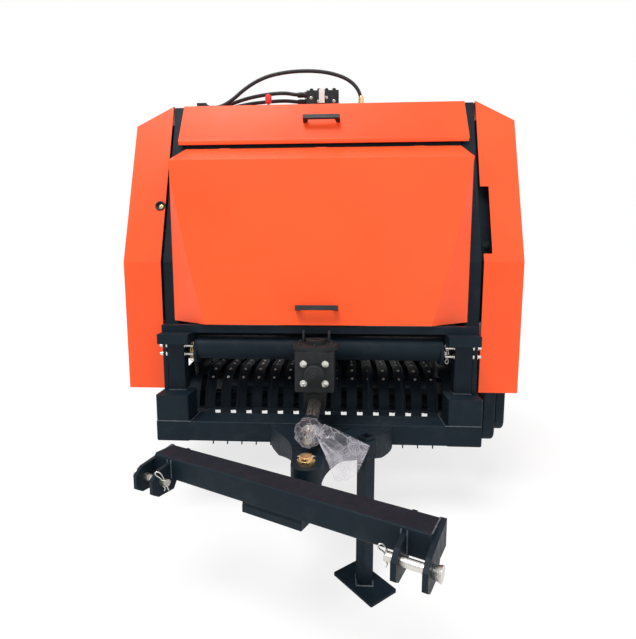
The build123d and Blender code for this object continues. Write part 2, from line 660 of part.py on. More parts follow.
with BuildPart() as hood:
    add(hood_body(0))
    add(hood_body(SHEET), mode=Mode.SUBTRACT)
    with BuildSketch(Plane.YZ.offset(-HOOD_HALF)):
        with BuildLine():
            Polyline((back(CREASE_D), CREASE_HIGH), (back(HOOD_HINGE_D), HOOD_HINGE_HIGH),
                     (back(HOOD_HINGE_D), HOOD_HINGE_HIGH - SHEET), (back(CREASE_D), CREASE_HIGH - SHEET),
                     close=True)
        make_face()
    extrude(amount=2 * HOOD_HALF)
    for x in KNUCKLES_X:
        rod_x(KNUCKLE_DIA, (x - KNUCKLE_LONG / 2, x + KNUCKLE_LONG / 2), back(HOOD_ROD_D), HOOD_ROD_HIGH)
        block((x - KNUCKLE_LONG / 2, x + KNUCKLE_LONG / 2), (back(HOOD_HINGE_D - 12), back(HOOD_ROD_D)),
              (HOOD_HINGE_HIGH - 9, HOOD_HINGE_HIGH - 1))
    rod_x(ROD_DIA + 2 * PIN_GAP, (-HOOD_HALF, HOOD_HALF), back(HOOD_ROD_D), HOOD_ROD_HIGH, Mode.SUBTRACT)
finish(hood, "hood")

finish(bridge_handle(Plane(origin=(0, back(HOOD_D + 0.10 * (CREASE_D - HOOD_D)),
                                   HOOD_LOW + 0.10 * (CREASE_HIGH - HOOD_LOW)),
                           x_dir=(1, 0, 0), z_dir=(0, -(CREASE_HIGH - HOOD_LOW), CREASE_D - HOOD_D)), 0, 0),
       "hood_handle")

# Hinge rods: the hood's between the uprights, the lid's on lugs along the roof
DECK_D = LID_ROD_D + KNUCKLE_DIA / 2 + RUN_GAP
DECK_HALF = COVER_IN - RUN_GAP

with BuildPart() as hinge_rods:
    rod_x(ROD_DIA, (-UPRIGHT_IN, UPRIGHT_IN), back(HOOD_ROD_D), HOOD_ROD_HIGH)
    rod_x(ROD_DIA, (-LID_HALF + 40, LID_HALF - 40), back(LID_ROD_D), LID_ROD_HIGH)
    for x in KNUCKLES_X:
        block((x + KNUCKLE_LONG / 2 + 4, x + KNUCKLE_LONG / 2 + 24), (back(LID_ROD_D), back(DECK_D)),
              (LID_ROD_HIGH - 5, LID_ROD_HIGH + 5))
finish(hinge_rods, "hinge_rods")

# Header bar between the uprights, behind the hood's hinge and the lid's lower edge
HEADER_D = HOOD_ROD_D + ROD_DIA + RUN_GAP
HEADER_DEPTH = 40
HEADER_LOW = 1930
HEADER_HIGH = 2070

with BuildPart() as header_bar:
    with BuildSketch(Plane.YZ.offset(-UPRIGHT_IN)):
        with BuildLine():
            Polyline((back(HEADER_D), HEADER_LOW), (back(HEADER_D), HEADER_HIGH - HEADER_DEPTH),
                     (back(HEADER_D + HEADER_DEPTH / 2), HEADER_HIGH), (back(HEADER_D + HEADER_DEPTH), HEADER_HIGH),
                     (back(HEADER_D + HEADER_DEPTH), HEADER_LOW), close=True)
        make_face()
    extrude(amount=2 * UPRIGHT_IN)
finish(header_bar, "header_bar")

# Roof deck behind the lid, level between the covers and then falling to the rear
with BuildPart() as roof_deck:
    with BuildSketch(Plane.YZ.offset(-DECK_HALF)):
        with BuildLine():
            Polyline((back(DECK_D), COVER_TOP), (back(COVER_BACK_D), COVER_TOP),
                     (back(DECK_BACK_D), DECK_BACK_HIGH), (back(DECK_BACK_D), DECK_BACK_HIGH - SHEET),
                     (back(COVER_BACK_D - 2), DECK_LOW), (back(DECK_D), DECK_LOW), close=True)
        make_face()
    extrude(amount=2 * DECK_HALF)
    block((-UPRIGHT_IN + 2, UPRIGHT_IN - 2), (back(DECK_D), back(DECK_D + SHEET)), (DECK_LOW - 30, DECK_LOW))
finish(roof_deck, "roof_deck")


def twine_box(side):
    """Twine box on its arms behind the cover, open on the outer side."""
    with BuildPart() as box:
        block((side * (UPRIGHT_IN + UPRIGHT_WIDE + 2), side * TWINE_OUT), (back(TWINE_D), back(TWINE_BACK_D)),
              (TWINE_LOW, TWINE_LOW + TWINE_TALL))
        block((side * (UPRIGHT_IN + UPRIGHT_WIDE + 2 + SHEET), side * (TWINE_OUT + 1)),
              (back(TWINE_D + SHEET), back(TWINE_BACK_D - SHEET)),
              (TWINE_LOW + SHEET, TWINE_LOW + TWINE_TALL - SHEET), Mode.SUBTRACT)
        block((side * (UPRIGHT_IN + UPRIGHT_WIDE + 2 + SHEET), side * TWINE_OUT),
              (back(TWINE_D + SHEET), back(TWINE_BACK_D - SHEET)),
              (TWINE_LOW + TWINE_TALL / 2, TWINE_LOW + TWINE_TALL / 2 + SHEET))
    return box


TWINE_LOW = CAP_HIGH + TWINE_ARM_HIGH
for side, word in ((-1, "left"), (1, "right")):
    finish(twine_box(side), f"twine_box_{word}")

# Centre frame: cross members, crank housing plates and the arms that carry the chamber
HOUSING_HALF = 250
CRANK_TOP = 1750
FLYWHEEL_DIA = 700
FLYWHEEL_HUB_DIA = 160
FLYWHEEL_HIGH = CRANK_TOP - FLYWHEEL_DIA / 2
CROSS_D = 420
CROSS_DEPTH = 80
HOOP_HALF = BALE_WIDE / 2 + CHAMBER_WALL + HOOP_RISE
HOOPS_D = (1000, 1520, 2010, 2500, 3000)
CHAMBER_TOP = CHAMBER_LOW + BALE_HIGH

with BuildPart() as centre_frame:
    block((-RAIL_IN, RAIL_IN), (back(CROSS_D), back(CROSS_D + CROSS_DEPTH)),
          (RAIL_LOW, CAP_HIGH))
    for side in (-1, 1):
        for distance in (HOOPS_D[0], HOOPS_D[2]):
            block((side * HOOP_HALF, side * RAIL_IN), (back(distance), back(distance + HOOP_DEPTH)),
                  (RAIL_LOW, CAP_HIGH))
        start = HOUSING_HALF - PLATE if side > 0 else -HOUSING_HALF
        with BuildSketch(Plane.YZ.offset(start)):
            with BuildLine():
                Polyline((back(CROSS_D), CAP_HIGH), (back(CROSS_D), CRANK_TOP - 200),
                         (back(CROSS_D + 160), CRANK_TOP), (back(CHAMBER_D - 160), CRANK_TOP),
                         (back(CHAMBER_D), CHAMBER_TOP + 80), (back(CHAMBER_D), CHAMBER_LOW),
                         (back(CROSS_D + CROSS_DEPTH), CHAMBER_LOW),
                         (back(CROSS_D + CROSS_DEPTH), CAP_HIGH), close=True)
            make_face()
        extrude(amount=PLATE)
finish(centre_frame, "centre_frame")

# Flywheel and main gearbox, closed in behind the hood: one plain heavy mass
with BuildPart() as main_drive:
    rod_y(FLYWHEEL_DIA, 0, (back(CROSS_D - 110), back(CROSS_D - 20)), FLYWHEEL_HIGH)
    rod_y(FLYWHEEL_HUB_DIA, 0, (back(CROSS_D - 20), back(CROSS_D + 60)), FLYWHEEL_HIGH)
    block((-HOUSING_HALF + PLATE, HOUSING_HALF - PLATE), (back(CROSS_D + 60), back(CROSS_D + 330)),
          (CRANK_TOP - 560, CRANK_TOP - 140))
finish(main_drive, "main_drive")

# Bale chamber: open tube with slots for the rails that squeeze the bale, and the hoops round it
SLOT_D = HOOPS_D[2] + HOOP_DEPTH + 20

with BuildPart() as bale_chamber:
    with BuildSketch(Plane.XZ.offset(-back(CHAMBER_BACK_D))):
        with Locations((0, CHAMBER_LOW + BALE_HIGH / 2)):
            Rectangle(BALE_WIDE + 2 * CHAMBER_WALL, BALE_HIGH + 2 * CHAMBER_WALL)
            Rectangle(BALE_WIDE, BALE_HIGH, mode=Mode.SUBTRACT)
    extrude(amount=CHAMBER_BACK_D - CHAMBER_D)
    for distance in HOOPS_D:
        with BuildSketch(Plane.XZ.offset(-back(distance + HOOP_DEPTH))):
            with Locations((0, CHAMBER_LOW + BALE_HIGH / 2)):
                RectangleRounded(2 * HOOP_HALF, BALE_HIGH + 2 * CHAMBER_WALL + 2 * HOOP_RISE, 14)
                Rectangle(BALE_WIDE + CHAMBER_WALL, BALE_HIGH + CHAMBER_WALL, mode=Mode.SUBTRACT)
        extrude(amount=HOOP_DEPTH)
    block((-BALE_WIDE / 2 + 70, BALE_WIDE / 2 - 70), (back(SLOT_D), back(HOOPS_D[4] - 20)),
          (CHAMBER_TOP - 1, CHAMBER_TOP + CHAMBER_WALL + 1), Mode.SUBTRACT)
    block((-BALE_WIDE / 2 + 30, BALE_WIDE / 2 - 30), (back(CHAMBER_D + 60), back(HOOPS_D[1] - 60)),
          (CHAMBER_LOW - CHAMBER_WALL - 1, CHAMBER_LOW + 1), Mode.SUBTRACT)
finish(bale_chamber, "bale_chamber")

# Chute that folds up behind the chamber
CHUTE_D = CHAMBER_BACK_D + 16
CHUTE_HIGH = CHAMBER_LOW - CHAMBER_WALL - 16
CHUTE_HALF = BALE_WIDE / 2 + CHAMBER_WALL + RUN_GAP
CHUTE_PIN_DIA = 20

with BuildPart() as chute:
    with BuildSketch(Plane.XZ.offset(-back(CHAMBER_BACK_D + CHUTE_LONG))):
        with BuildLine():
            base = CHUTE_HIGH
            Polyline((-CHUTE_HALF - SHEET, base), (CHUTE_HALF + SHEET, base),
                     (CHUTE_HALF + SHEET, base + CHUTE_SIDE), (CHUTE_HALF, base + CHUTE_SIDE),
                     (CHUTE_HALF, base + SHEET), (-CHUTE_HALF, base + SHEET),
                     (-CHUTE_HALF, base + CHUTE_SIDE), (-CHUTE_HALF - SHEET, base + CHUTE_SIDE), close=True)
        make_face()
    extrude(amount=CHUTE_LONG - 16 - CHUTE_PIN_DIA)
    rod_x(CHUTE_PIN_DIA + 14, (-CHUTE_HALF + 40, CHUTE_HALF - 40), back(CHUTE_D), CHUTE_HIGH)
    block((-CHUTE_HALF + 40, CHUTE_HALF - 40), (back(CHUTE_D), back(CHUTE_D + 60)),
          (CHUTE_HIGH, CHUTE_HIGH + SHEET))
    rod_x(CHUTE_PIN_DIA + 2 * PIN_GAP, (-CHUTE_HALF, CHUTE_HALF), back(CHUTE_D), CHUTE_HIGH, Mode.SUBTRACT)
finish(chute, "chute")

with BuildPart() as chute_pin:
    rod_x(CHUTE_PIN_DIA, (-CHUTE_HALF + 6, CHUTE_HALF - 6), back(CHUTE_D), CHUTE_HIGH)
    for side in (-1, 1):
        block((side * (CHUTE_HALF - 26), side * (CHUTE_HALF - 6)),
              (back(CHAMBER_BACK_D - 50), back(CHUTE_D + 8)),
              (CHUTE_HIGH - 10, CHAMBER_LOW - CHAMBER_WALL))
finish(chute_pin, "chute_pin")

# Axle under the rails, with a spindle for each wheel
LEG_OUT = RAIL_IN + RAIL_WIDE
WHEEL_HIGH = TYRE_DIA / 2
HUB_LONG = 150

with BuildPart() as axle:
    with BuildSketch(Plane.YZ.offset(-LEG_OUT)):
        with Locations((back(AXLE_D), WHEEL_HIGH)):
            RectangleRounded(AXLE_SIDE, AXLE_SIDE, 8)
    extrude(amount=2 * LEG_OUT)
    for side in (-1, 1):
        block((side * RAIL_IN, side * LEG_OUT), (back(AXLE_D - AXLE_SIDE / 2), back(AXLE_D + AXLE_SIDE / 2)),
              (WHEEL_HIGH, RAIL_LOW))
        rod_x(SPINDLE_DIA, (side * LEG_OUT, side * (WHEEL_X + HUB_LONG / 2 - 10)), back(AXLE_D), WHEEL_HIGH)
finish(axle, "axle")


def wheel_rim(side):
    """Dished rim with its hub, bored for the spindle."""
    with BuildPart() as rim:
        with BuildSketch(Plane.XZ.offset(-back(AXLE_D))):
            with BuildLine():
                x = side * WHEEL_X
                r = RIM_DIA / 2
                Polyline((x - 95, WHEEL_HIGH + r + 12), (x - 95, WHEEL_HIGH + r - 4),
                         (x - 14, WHEEL_HIGH + r - 30), (x - 6, WHEEL_HIGH + HUB_DIA / 2),
                         (x - HUB_LONG / 2, WHEEL_HIGH + HUB_DIA / 2),
                         (x - HUB_LONG / 2, WHEEL_HIGH + SPINDLE_DIA / 2 + PIN_GAP),
                         (x + HUB_LONG / 2, WHEEL_HIGH + SPINDLE_DIA / 2 + PIN_GAP),
                         (x + HUB_LONG / 2, WHEEL_HIGH + HUB_DIA / 2), (x + 6, WHEEL_HIGH + HUB_DIA / 2),
                         (x + 6, WHEEL_HIGH + r - 30), (x + 95, WHEEL_HIGH + r - 4),
                         (x + 95, WHEEL_HIGH + r + 12), (x + 88, WHEEL_HIGH + r), (x - 88, WHEEL_HIGH + r),
                         close=True)
            make_face()
        revolve(axis=Axis((0, back(AXLE_D), WHEEL_HIGH), (1, 0, 0)))
    return rim


def wheel_tyre(side):
    """Closed tyre with rounded shoulders, seated on the rim."""
    with BuildPart() as tyre:
        with BuildSketch(Plane.XZ.offset(-back(AXLE_D))):
            with BuildLine():
                x = side * WHEEL_X
                low = WHEEL_HIGH + RIM_DIA / 2
                high = WHEEL_HIGH + TYRE_DIA / 2
                half = TYRE_WIDE / 2
                Polyline((x - 86, low), (x + 86, low), (x + 86, low + 16), (x + half, low + 66),
                         (x + half, high - 60), (x + half - 45, high), (x - half + 45, high),
                         (x - half, high - 60), (x - half, low + 66), (x - 86, low + 16), close=True)
            make_face()
        revolve(axis=Axis((0, back(AXLE_D), WHEEL_HIGH), (1, 0, 0)))
    return tyre


for side, word in ((-1, "left"), (1, "right")):
    finish(wheel_rim(side), f"rim_{word}")
    finish(wheel_tyre(side), f"tyre_{word}")

# Pickup: end plates, stripper bands, wind guard and lift pivots
LIFT_PIN_DIA = 30
END_PLATE = 12
BAND_PITCH = 2 * CROP_HALF / (TINE_COLUMNS + 1)
BAND_BACK_D = 872
BAND_TOP = REEL_HIGH + BAND_RADIUS
BAND_LOW = REEL_HIGH - BAND_RADIUS
REEL_SHAFT_DIA = 36
REEL_TUBE_DIA = 90

with BuildPart() as pickup_frame:
    for side in (-1, 1):
        start = CROP_HALF if side > 0 else -CROP_HALF - END_PLATE
        with BuildSketch(Plane.YZ.offset(start)):
            with BuildLine():
                Polyline((back(REEL_D - BAND_RADIUS - 25), REEL_HIGH), (back(REEL_D - 170), BAND_TOP + 14),
                         (back(REEL_D), BAND_TOP + 34), (back(LIFT_D - 40), LIFT_HIGH + 36),
                         (back(LIFT_D + 36), LIFT_HIGH + 20), (back(LIFT_D + 36), LIFT_HIGH - 30),
                         (back(BAND_BACK_D + 30), BAND_LOW + 130), (back(BAND_BACK_D), BAND_LOW - 12),
                         (back(REEL_D - 60), BAND_LOW - 12), close=True)
            make_face()
            with Locations((back(LIFT_D), LIFT_HIGH)):
                Circle(LIFT_PIN_DIA / 2 + PIN_GAP, mode=Mode.SUBTRACT)
            with Locations((back(REEL_D), REEL_HIGH)):
                Circle(REEL_SHAFT_DIA / 2 + PIN_GAP, mode=Mode.SUBTRACT)
        extrude(amount=END_PLATE)
    for height in (BAND_TOP - 22, BAND_LOW):
        block((-CROP_HALF, CROP_HALF), (back(BAND_BACK_D - 4), back(BAND_BACK_D + 22)),
              (height, height + 22))
finish(pickup_frame, "pickup_frame")

with BuildPart() as stripper_bands:
    with BuildSketch(Plane.YZ.offset(-CROP_HALF)):
        with BuildLine():
            Line((back(BAND_BACK_D - 4), BAND_TOP), (back(REEL_D), BAND_TOP))
            ThreePointArc((back(REEL_D), BAND_TOP), (back(REEL_D - BAND_RADIUS), REEL_HIGH),
                          (back(REEL_D), BAND_LOW))
            Line((back(REEL_D), BAND_LOW), (back(BAND_BACK_D - 4), BAND_LOW))
            Line((back(BAND_BACK_D - 4), BAND_LOW), (back(BAND_BACK_D - 4), BAND_LOW + SHEET))
            Line((back(BAND_BACK_D - 4), BAND_LOW + SHEET), (back(REEL_D), BAND_LOW + SHEET))
            ThreePointArc((back(REEL_D), BAND_LOW + SHEET), (back(REEL_D - BAND_RADIUS + SHEET), REEL_HIGH),
                          (back(REEL_D), BAND_TOP - SHEET))
            Line((back(REEL_D), BAND_TOP - SHEET), (back(BAND_BACK_D - 4), BAND_TOP - SHEET))
            Line((back(BAND_BACK_D - 4), BAND_TOP - SHEET), (back(BAND_BACK_D - 4), BAND_TOP))
        make_face()
    extrude(amount=2 * CROP_HALF)
    with Locations((0, back((REEL_D - BAND_RADIUS + BAND_BACK_D - 26) / 2), REEL_HIGH)):
        with GridLocations(BAND_PITCH, 1, TINE_COLUMNS, 1):
            Box(BAND_PITCH - BAND_WIDE, BAND_BACK_D - 16 - REEL_D + BAND_RADIUS, 2 * BAND_RADIUS + 10,
                mode=Mode.SUBTRACT)
finish(stripper_bands, "stripper_bands")

# Pickup reel: shaft, end discs, and tine bars whose spring tines stand out between the bands,
# each on its coil, with the outer half trailing
TINE_MID = (TINE_BAR_RADIUS + TINE_REACH) / 2
TINE_TRAIL = (TINE_REACH - TINE_MID) * tan(radians(TINE_BEND))
TINE_TIP = (TINE_REACH ** 2 - (TINE_TRAIL + TINE_DIA) ** 2) ** 0.5
TINES_X = [BAND_PITCH * (n - (TINE_COLUMNS - 1) / 2) for n in range(TINE_COLUMNS)]

with BuildPart() as tine_bar:
    rod_x(TINE_BAR_DIA, (-CROP_HALF + RUN_GAP, CROP_HALF - RUN_GAP), TINE_BAR_RADIUS, 0)
    with BuildSketch(*[Plane.YZ.offset(x - TINE_DIA / 2) for x in TINES_X]):
        with BuildLine():
            Polyline((TINE_BAR_RADIUS, -TINE_DIA / 2), (TINE_MID, -TINE_DIA / 2),
                     (TINE_TIP, -TINE_TRAIL - TINE_DIA / 2), (TINE_TIP, -TINE_TRAIL + TINE_DIA / 2),
                     (TINE_MID, TINE_DIA / 2), (TINE_BAR_RADIUS, TINE_DIA / 2), close=True)
        make_face()
    extrude(amount=TINE_DIA)
    with BuildSketch(*[Plane.YZ.offset(x - TINE_COIL / 4) for x in TINES_X]):
        with Locations((TINE_BAR_RADIUS, 0)):
            RegularPolygon(TINE_COIL / 2, 10)
    extrude(amount=TINE_COIL / 2)

with BuildPart() as pickup_reel:
    rod_x(REEL_SHAFT_DIA, (-CROP_HALF - END_PLATE - 6, CROP_HALF + END_PLATE + 100), back(REEL_D), REEL_HIGH)
    rod_x(REEL_TUBE_DIA, (-CROP_HALF + RUN_GAP, CROP_HALF - RUN_GAP), back(REEL_D), REEL_HIGH)
    for x in (-CROP_HALF + RUN_GAP + SHEET, CROP_HALF - RUN_GAP - SHEET):
        rod_x(2 * TINE_BAR_RADIUS + TINE_BAR_DIA + 16, (x - SHEET, x + SHEET), back(REEL_D), REEL_HIGH)
    for n in range(TINE_BARS):
        add(tine_bar.part.rotate(Axis.X, 360 * n / TINE_BARS).translate((0, back(REEL_D), REEL_HIGH)))
finish(pickup_reel, "pickup_reel")

# Wind guard: a cross rod ahead of the bands, its arms outside the end plates
GUARD_D = 272
GUARD_HIGH = 490
GUARD_ROD = 16
FINGER_DIA = 10
FINGER_LIFT = 26
FINGER_REACH = 150
FINGER_COLUMNS = (-7, -5, -3, -1, 1, 3, 5, 7)
PLATE_OUT = CROP_HALF + END_PLATE

with BuildPart() as wind_guard:
    rod_x(GUARD_ROD, (-PLATE_OUT - 8, PLATE_OUT + 8), back(GUARD_D), GUARD_HIGH)
    for side in (-1, 1):
        block((side * PLATE_OUT, side * (PLATE_OUT + 8)), (back(GUARD_D), back(REEL_D - 110)),
              (GUARD_HIGH - 12, GUARD_HIGH + 12))
    finger_top = BAND_TOP + FINGER_LIFT
    with BuildSketch(*[Plane.YZ.offset(BAND_PITCH * n - FINGER_DIA / 2) for n in FINGER_COLUMNS]):
        with BuildLine():
            Polyline((back(GUARD_D), GUARD_HIGH), (back(GUARD_D + FINGER_REACH - 40), finger_top - 20),
                     (back(GUARD_D + FINGER_REACH), finger_top), (back(REEL_D + 60), finger_top),
                     (back(REEL_D + 60), finger_top + FINGER_DIA), (back(GUARD_D + FINGER_REACH), finger_top + FINGER_DIA),
                     (back(GUARD_D + FINGER_REACH - 50), finger_top - 14), (back(GUARD_D - 5), GUARD_HIGH + 5),
                     close=True)
        make_face()
    extrude(amount=FINGER_DIA)
finish(wind_guard, "wind_guard")

# Drive guards on the right end of the pickup: two rounded cases, the outer one higher
GUARD_CORNER = 60
INNER_CASE = {"x": (935, 1000), "d": (315, 650), "z": (304, 720)}
OUTER_CASE = {"x": (1012, 1064), "d": (350, 670), "z": (355, 720)}

with BuildPart() as pickup_drive:
    for case in (INNER_CASE, OUTER_CASE):
        with BuildSketch(Plane.YZ.offset(case["x"][0])):
            with Locations((back(sum(case["d"]) / 2), sum(case["z"]) / 2)):
                RectangleRounded(case["d"][1] - case["d"][0], case["z"][1] - case["z"][0], GUARD_CORNER)
        extrude(amount=case["x"][1] - case["x"][0])
        fillet(pickup_drive.faces().sort_by(Axis.X)[-1].edges(), 14)
    rod_x(70, (PLATE_OUT, INNER_CASE["x"][0]), back(REEL_D), REEL_HIGH)
    rod_x(REEL_SHAFT_DIA + 2 * PIN_GAP, (CROP_HALF, PLATE_OUT + 101), back(REEL_D), REEL_HIGH, Mode.SUBTRACT)
    rod_x(60, (INNER_CASE["x"][1], OUTER_CASE["x"][0]), back(REEL_D - 60), REEL_HIGH + 100)
finish(pickup_drive, "pickup_drive")

# Brackets under the rails with the pins that the pickup lifts about
BRACKET_X = RAIL_IN + 52

with BuildPart() as lift_brackets:
    for side in (-1, 1):
        with BuildSketch(Plane.YZ.offset(side * BRACKET_X)):
            with Locations((back(LIFT_D), LIFT_HIGH)):
                Circle(28)
            with Locations((back(LIFT_D), (LIFT_HIGH + RAIL_LOW) / 2)):
                Rectangle(56, RAIL_LOW - LIFT_HIGH)
        extrude(amount=side * -END_PLATE)
        rod_x(LIFT_PIN_DIA, (side * BRACKET_X, side * (PLATE_OUT + 8)), back(LIFT_D), LIFT_HIGH)
finish(lift_brackets, "lift_brackets")

# Feed trough round the auger, with the duct up into the chamber floor
TROUGH_RADIUS = AUGER_DIA / 2 + 18
TROUGH_HALF = 768
DUCT_HALF = BALE_WIDE / 2 - 34
DUCT_BACK_D = HOOPS_D[1] - 60

with BuildPart() as feed_trough:
    with BuildSketch(Plane.YZ.offset(-TROUGH_HALF)):
        with BuildLine():
            r, y, z = TROUGH_RADIUS, back(AUGER_D), AUGER_HIGH
            Line((y - r, z), (y - r - SHEET, z))
            ThreePointArc((y - r - SHEET, z), (y, z - r - SHEET), (y + r + SHEET, z))
            Line((y + r + SHEET, z), (y + r + SHEET, CHAMBER_LOW - CHAMBER_WALL))
            Line((y + r + SHEET, CHAMBER_LOW - CHAMBER_WALL), (y + r, CHAMBER_LOW - CHAMBER_WALL))
            Line((y + r, CHAMBER_LOW - CHAMBER_WALL), (y + r, z))
            ThreePointArc((y + r, z), (y, z - r), (y - r, z))
        make_face()
    extrude(amount=2 * TROUGH_HALF)
    block((-DUCT_HALF, DUCT_HALF), (y + r - 1, y + r + SHEET + 1), (AUGER_HIGH - 40, CHAMBER_LOW - 60),
          Mode.SUBTRACT)
    for side in (-1, 1):
        with BuildSketch(Plane.YZ.offset(side * TROUGH_HALF)):
            with BuildLine():
                Polyline((y - r - SHEET, z), (y + r + SHEET, z), (y + r + SHEET, RAIL_LOW),
                         (y - 40, RAIL_LOW), (y - 40, z + 60), (y - r - SHEET, z + 20), close=True)
                ThreePointArc((y - r - SHEET, z), (y, z - r - SHEET), (y + r + SHEET, z))
            make_face()
            with Locations((y, z)):
                Circle(REEL_SHAFT_DIA / 2 + PIN_GAP, mode=Mode.SUBTRACT)
        extrude(amount=side * -PLATE)
        block((side * DUCT_HALF, side * (DUCT_HALF + SHEET)), (y + r + SHEET, back(DUCT_BACK_D)),
              (AUGER_HIGH - 44, CHAMBER_LOW - CHAMBER_WALL))
    block((-DUCT_HALF, DUCT_HALF), (back(DUCT_BACK_D) - SHEET, back(DUCT_BACK_D)),
          (AUGER_HIGH - 44, CHAMBER_LOW - CHAMBER_WALL))
    block((-DUCT_HALF, DUCT_HALF), (y + r + SHEET, back(DUCT_BACK_D)), (AUGER_HIGH - 44, AUGER_HIGH - 40))
finish(feed_trough, "feed_trough")

# Feed auger: tube with a helical flight from each end, of opposite hands, towards the middle
FLIGHT_PITCH = 230
FLIGHT_TURNS = 2
FLIGHT_THICK = 6
FLIGHT_IN = 210

with BuildPart() as feed_auger:
    rod_x(AUGER_TUBE, (-TROUGH_HALF + PLATE + RUN_GAP, TROUGH_HALF - PLATE - RUN_GAP), back(AUGER_D),
          AUGER_HIGH)
    rod_x(REEL_SHAFT_DIA, (-TROUGH_HALF - 10, TROUGH_HALF + 10), back(AUGER_D), AUGER_HIGH)
    for side in (-1, 1):
        with BuildLine(mode=Mode.PRIVATE) as winding:
            Helix(FLIGHT_PITCH, FLIGHT_PITCH * FLIGHT_TURNS, (AUGER_DIA + AUGER_TUBE) / 4,
                  center=(side * FLIGHT_IN, back(AUGER_D), AUGER_HIGH), direction=(side, 0, 0), lefthand=side < 0)
        start = winding.line @ 0
        outward = start - Vector(start.X, back(AUGER_D), AUGER_HIGH)
        with BuildSketch(Plane(origin=start, x_dir=outward, z_dir=winding.line % 0)):
            Rectangle((AUGER_DIA - AUGER_TUBE) / 2 + PIN_GAP, FLIGHT_THICK)
        sweep(path=winding.line, is_frenet=True)
finish(feed_auger, "feed_auger")

# Knotters on the chamber, above the needles
KNOTTER_D = 1660
KNOTTER_HIGH = CHAMBER_TOP + CHAMBER_WALL + 150
KNOTTER_X = 115

with BuildPart() as knotters:
    rod_x(36, (-HOOP_HALF, HOOP_HALF), back(KNOTTER_D), KNOTTER_HIGH)
    for side in (-1, 1):
        rod_x(230, (side * (KNOTTER_X - 9), side * (KNOTTER_X + 9)), back(KNOTTER_D), KNOTTER_HIGH)
        rod_x(90, (side * (KNOTTER_X + 9), side * (KNOTTER_X + 60)), back(KNOTTER_D), KNOTTER_HIGH)
        with BuildSketch(Plane.YZ.offset(side * (HOOP_HALF - 12))):
            with BuildLine():
                Polyline((back(KNOTTER_D - 76), CHAMBER_TOP + CHAMBER_WALL),
                         (back(KNOTTER_D + 76), CHAMBER_TOP + CHAMBER_WALL),
                         (back(KNOTTER_D + 30), KNOTTER_HIGH + 40), (back(KNOTTER_D - 30), KNOTTER_HIGH + 40),
                         close=True)
            make_face()
        extrude(amount=side * 12)
        block((side * (BALE_WIDE / 2 - 20), side * (HOOP_HALF - 12)),
              (back(KNOTTER_D - 60), back(KNOTTER_D + 60)),
              (CHAMBER_TOP + CHAMBER_WALL, CHAMBER_TOP + CHAMBER_WALL + 12))
finish(knotters, "knotters")

# Needle yoke under the chamber, with its two curved needles
YOKE_D = 1655
YOKE_HIGH = 600
YOKE_PIVOT_D = HOOPS_D[2] - 40
YOKE_PIVOT_HIGH = CHAMBER_LOW + 60
YOKE_PIVOT = (back(YOKE_PIVOT_D), YOKE_PIVOT_HIGH)
NEEDLE_RADIUS = hypot(YOKE_PIVOT_D - YOKE_D, YOKE_PIVOT_HIGH - YOKE_HIGH)
NEEDLE_START = degrees(atan2(YOKE_HIGH - YOKE_PIVOT_HIGH, YOKE_D - YOKE_PIVOT_D))
NEEDLE_TURN = -18
NEEDLE_WIDE = 10
NEEDLE_DEEP = 26

with BuildPart() as needle_yoke:
    rod_x(50, (-HOOP_HALF - 22, HOOP_HALF + 22), back(YOKE_D), YOKE_HIGH)
    for side in (-1, 1):
        with BuildSketch(Plane.YZ.offset(side * (HOOP_HALF + 4))):
            with BuildLine():
                Polyline((back(YOKE_D - 30), YOKE_HIGH - 20), (back(YOKE_D + 30), YOKE_HIGH - 30),
                         (back(YOKE_PIVOT_D + 30), CHAMBER_LOW + 60), (back(YOKE_PIVOT_D - 30), CHAMBER_LOW + 90),
                         close=True)
            make_face()
        extrude(amount=side * 14)
        rod_x(36, (side * (BALE_WIDE / 2 + CHAMBER_WALL), side * (HOOP_HALF + 4)), back(YOKE_PIVOT_D),
              CHAMBER_LOW + 60)
        with BuildSketch(Plane.YZ.offset(side * KNOTTER_X - NEEDLE_WIDE / 2)):
            with BuildLine():
                inner = CenterArc(YOKE_PIVOT, NEEDLE_RADIUS - NEEDLE_DEEP / 2, NEEDLE_START, NEEDLE_TURN)
                outer = CenterArc(YOKE_PIVOT, NEEDLE_RADIUS + NEEDLE_DEEP / 2, NEEDLE_START, NEEDLE_TURN)
                Line(inner @ 0, outer @ 0)
                Line(inner @ 1, outer @ 1)
            make_face()
        extrude(amount=NEEDLE_WIDE)
finish(needle_yoke, "needle_yoke")

# Rails that squeeze the bale under the hoops, pressed by spring screws through a crosshead
RAIL_PLATE = 14
RAIL_X = 90
SCREW_DIA = 24
SPRING_DIA = 64
SPRING_LONG = 190
CROSSHEAD_D = 2790
CROSSHEAD_DEPTH = 70
CROSSHEAD_HIGH = CHAMBER_TOP + CHAMBER_WALL + HOOP_RISE + 30

with BuildPart() as density_rails:
    for x in (-RAIL_X, RAIL_X):
        block((x - 40, x + 40), (back(SLOT_D + 10), back(HOOPS_D[4] - 30)),
              (CHAMBER_TOP - RAIL_PLATE + 3, CHAMBER_TOP + 3))
        for span in ((SLOT_D + 10, HOOPS_D[3] - 10), (HOOPS_D[3] + HOOP_DEPTH + 10, HOOPS_D[4] - 30)):
            block((x - 8, x + 8), (back(span[0]), back(span[1])),
                  (CHAMBER_TOP, CHAMBER_TOP + CHAMBER_WALL + HOOP_RISE))
        rod_z(SCREW_DIA, x, back(CROSSHEAD_D + CROSSHEAD_DEPTH / 2), (CHAMBER_TOP, CROSSHEAD_HIGH + 340))
        rod_z(SPRING_DIA, x, back(CROSSHEAD_D + CROSSHEAD_DEPTH / 2),
              (CROSSHEAD_HIGH + 60, CROSSHEAD_HIGH + 60 + SPRING_LONG))
finish(density_rails, "density_rails")

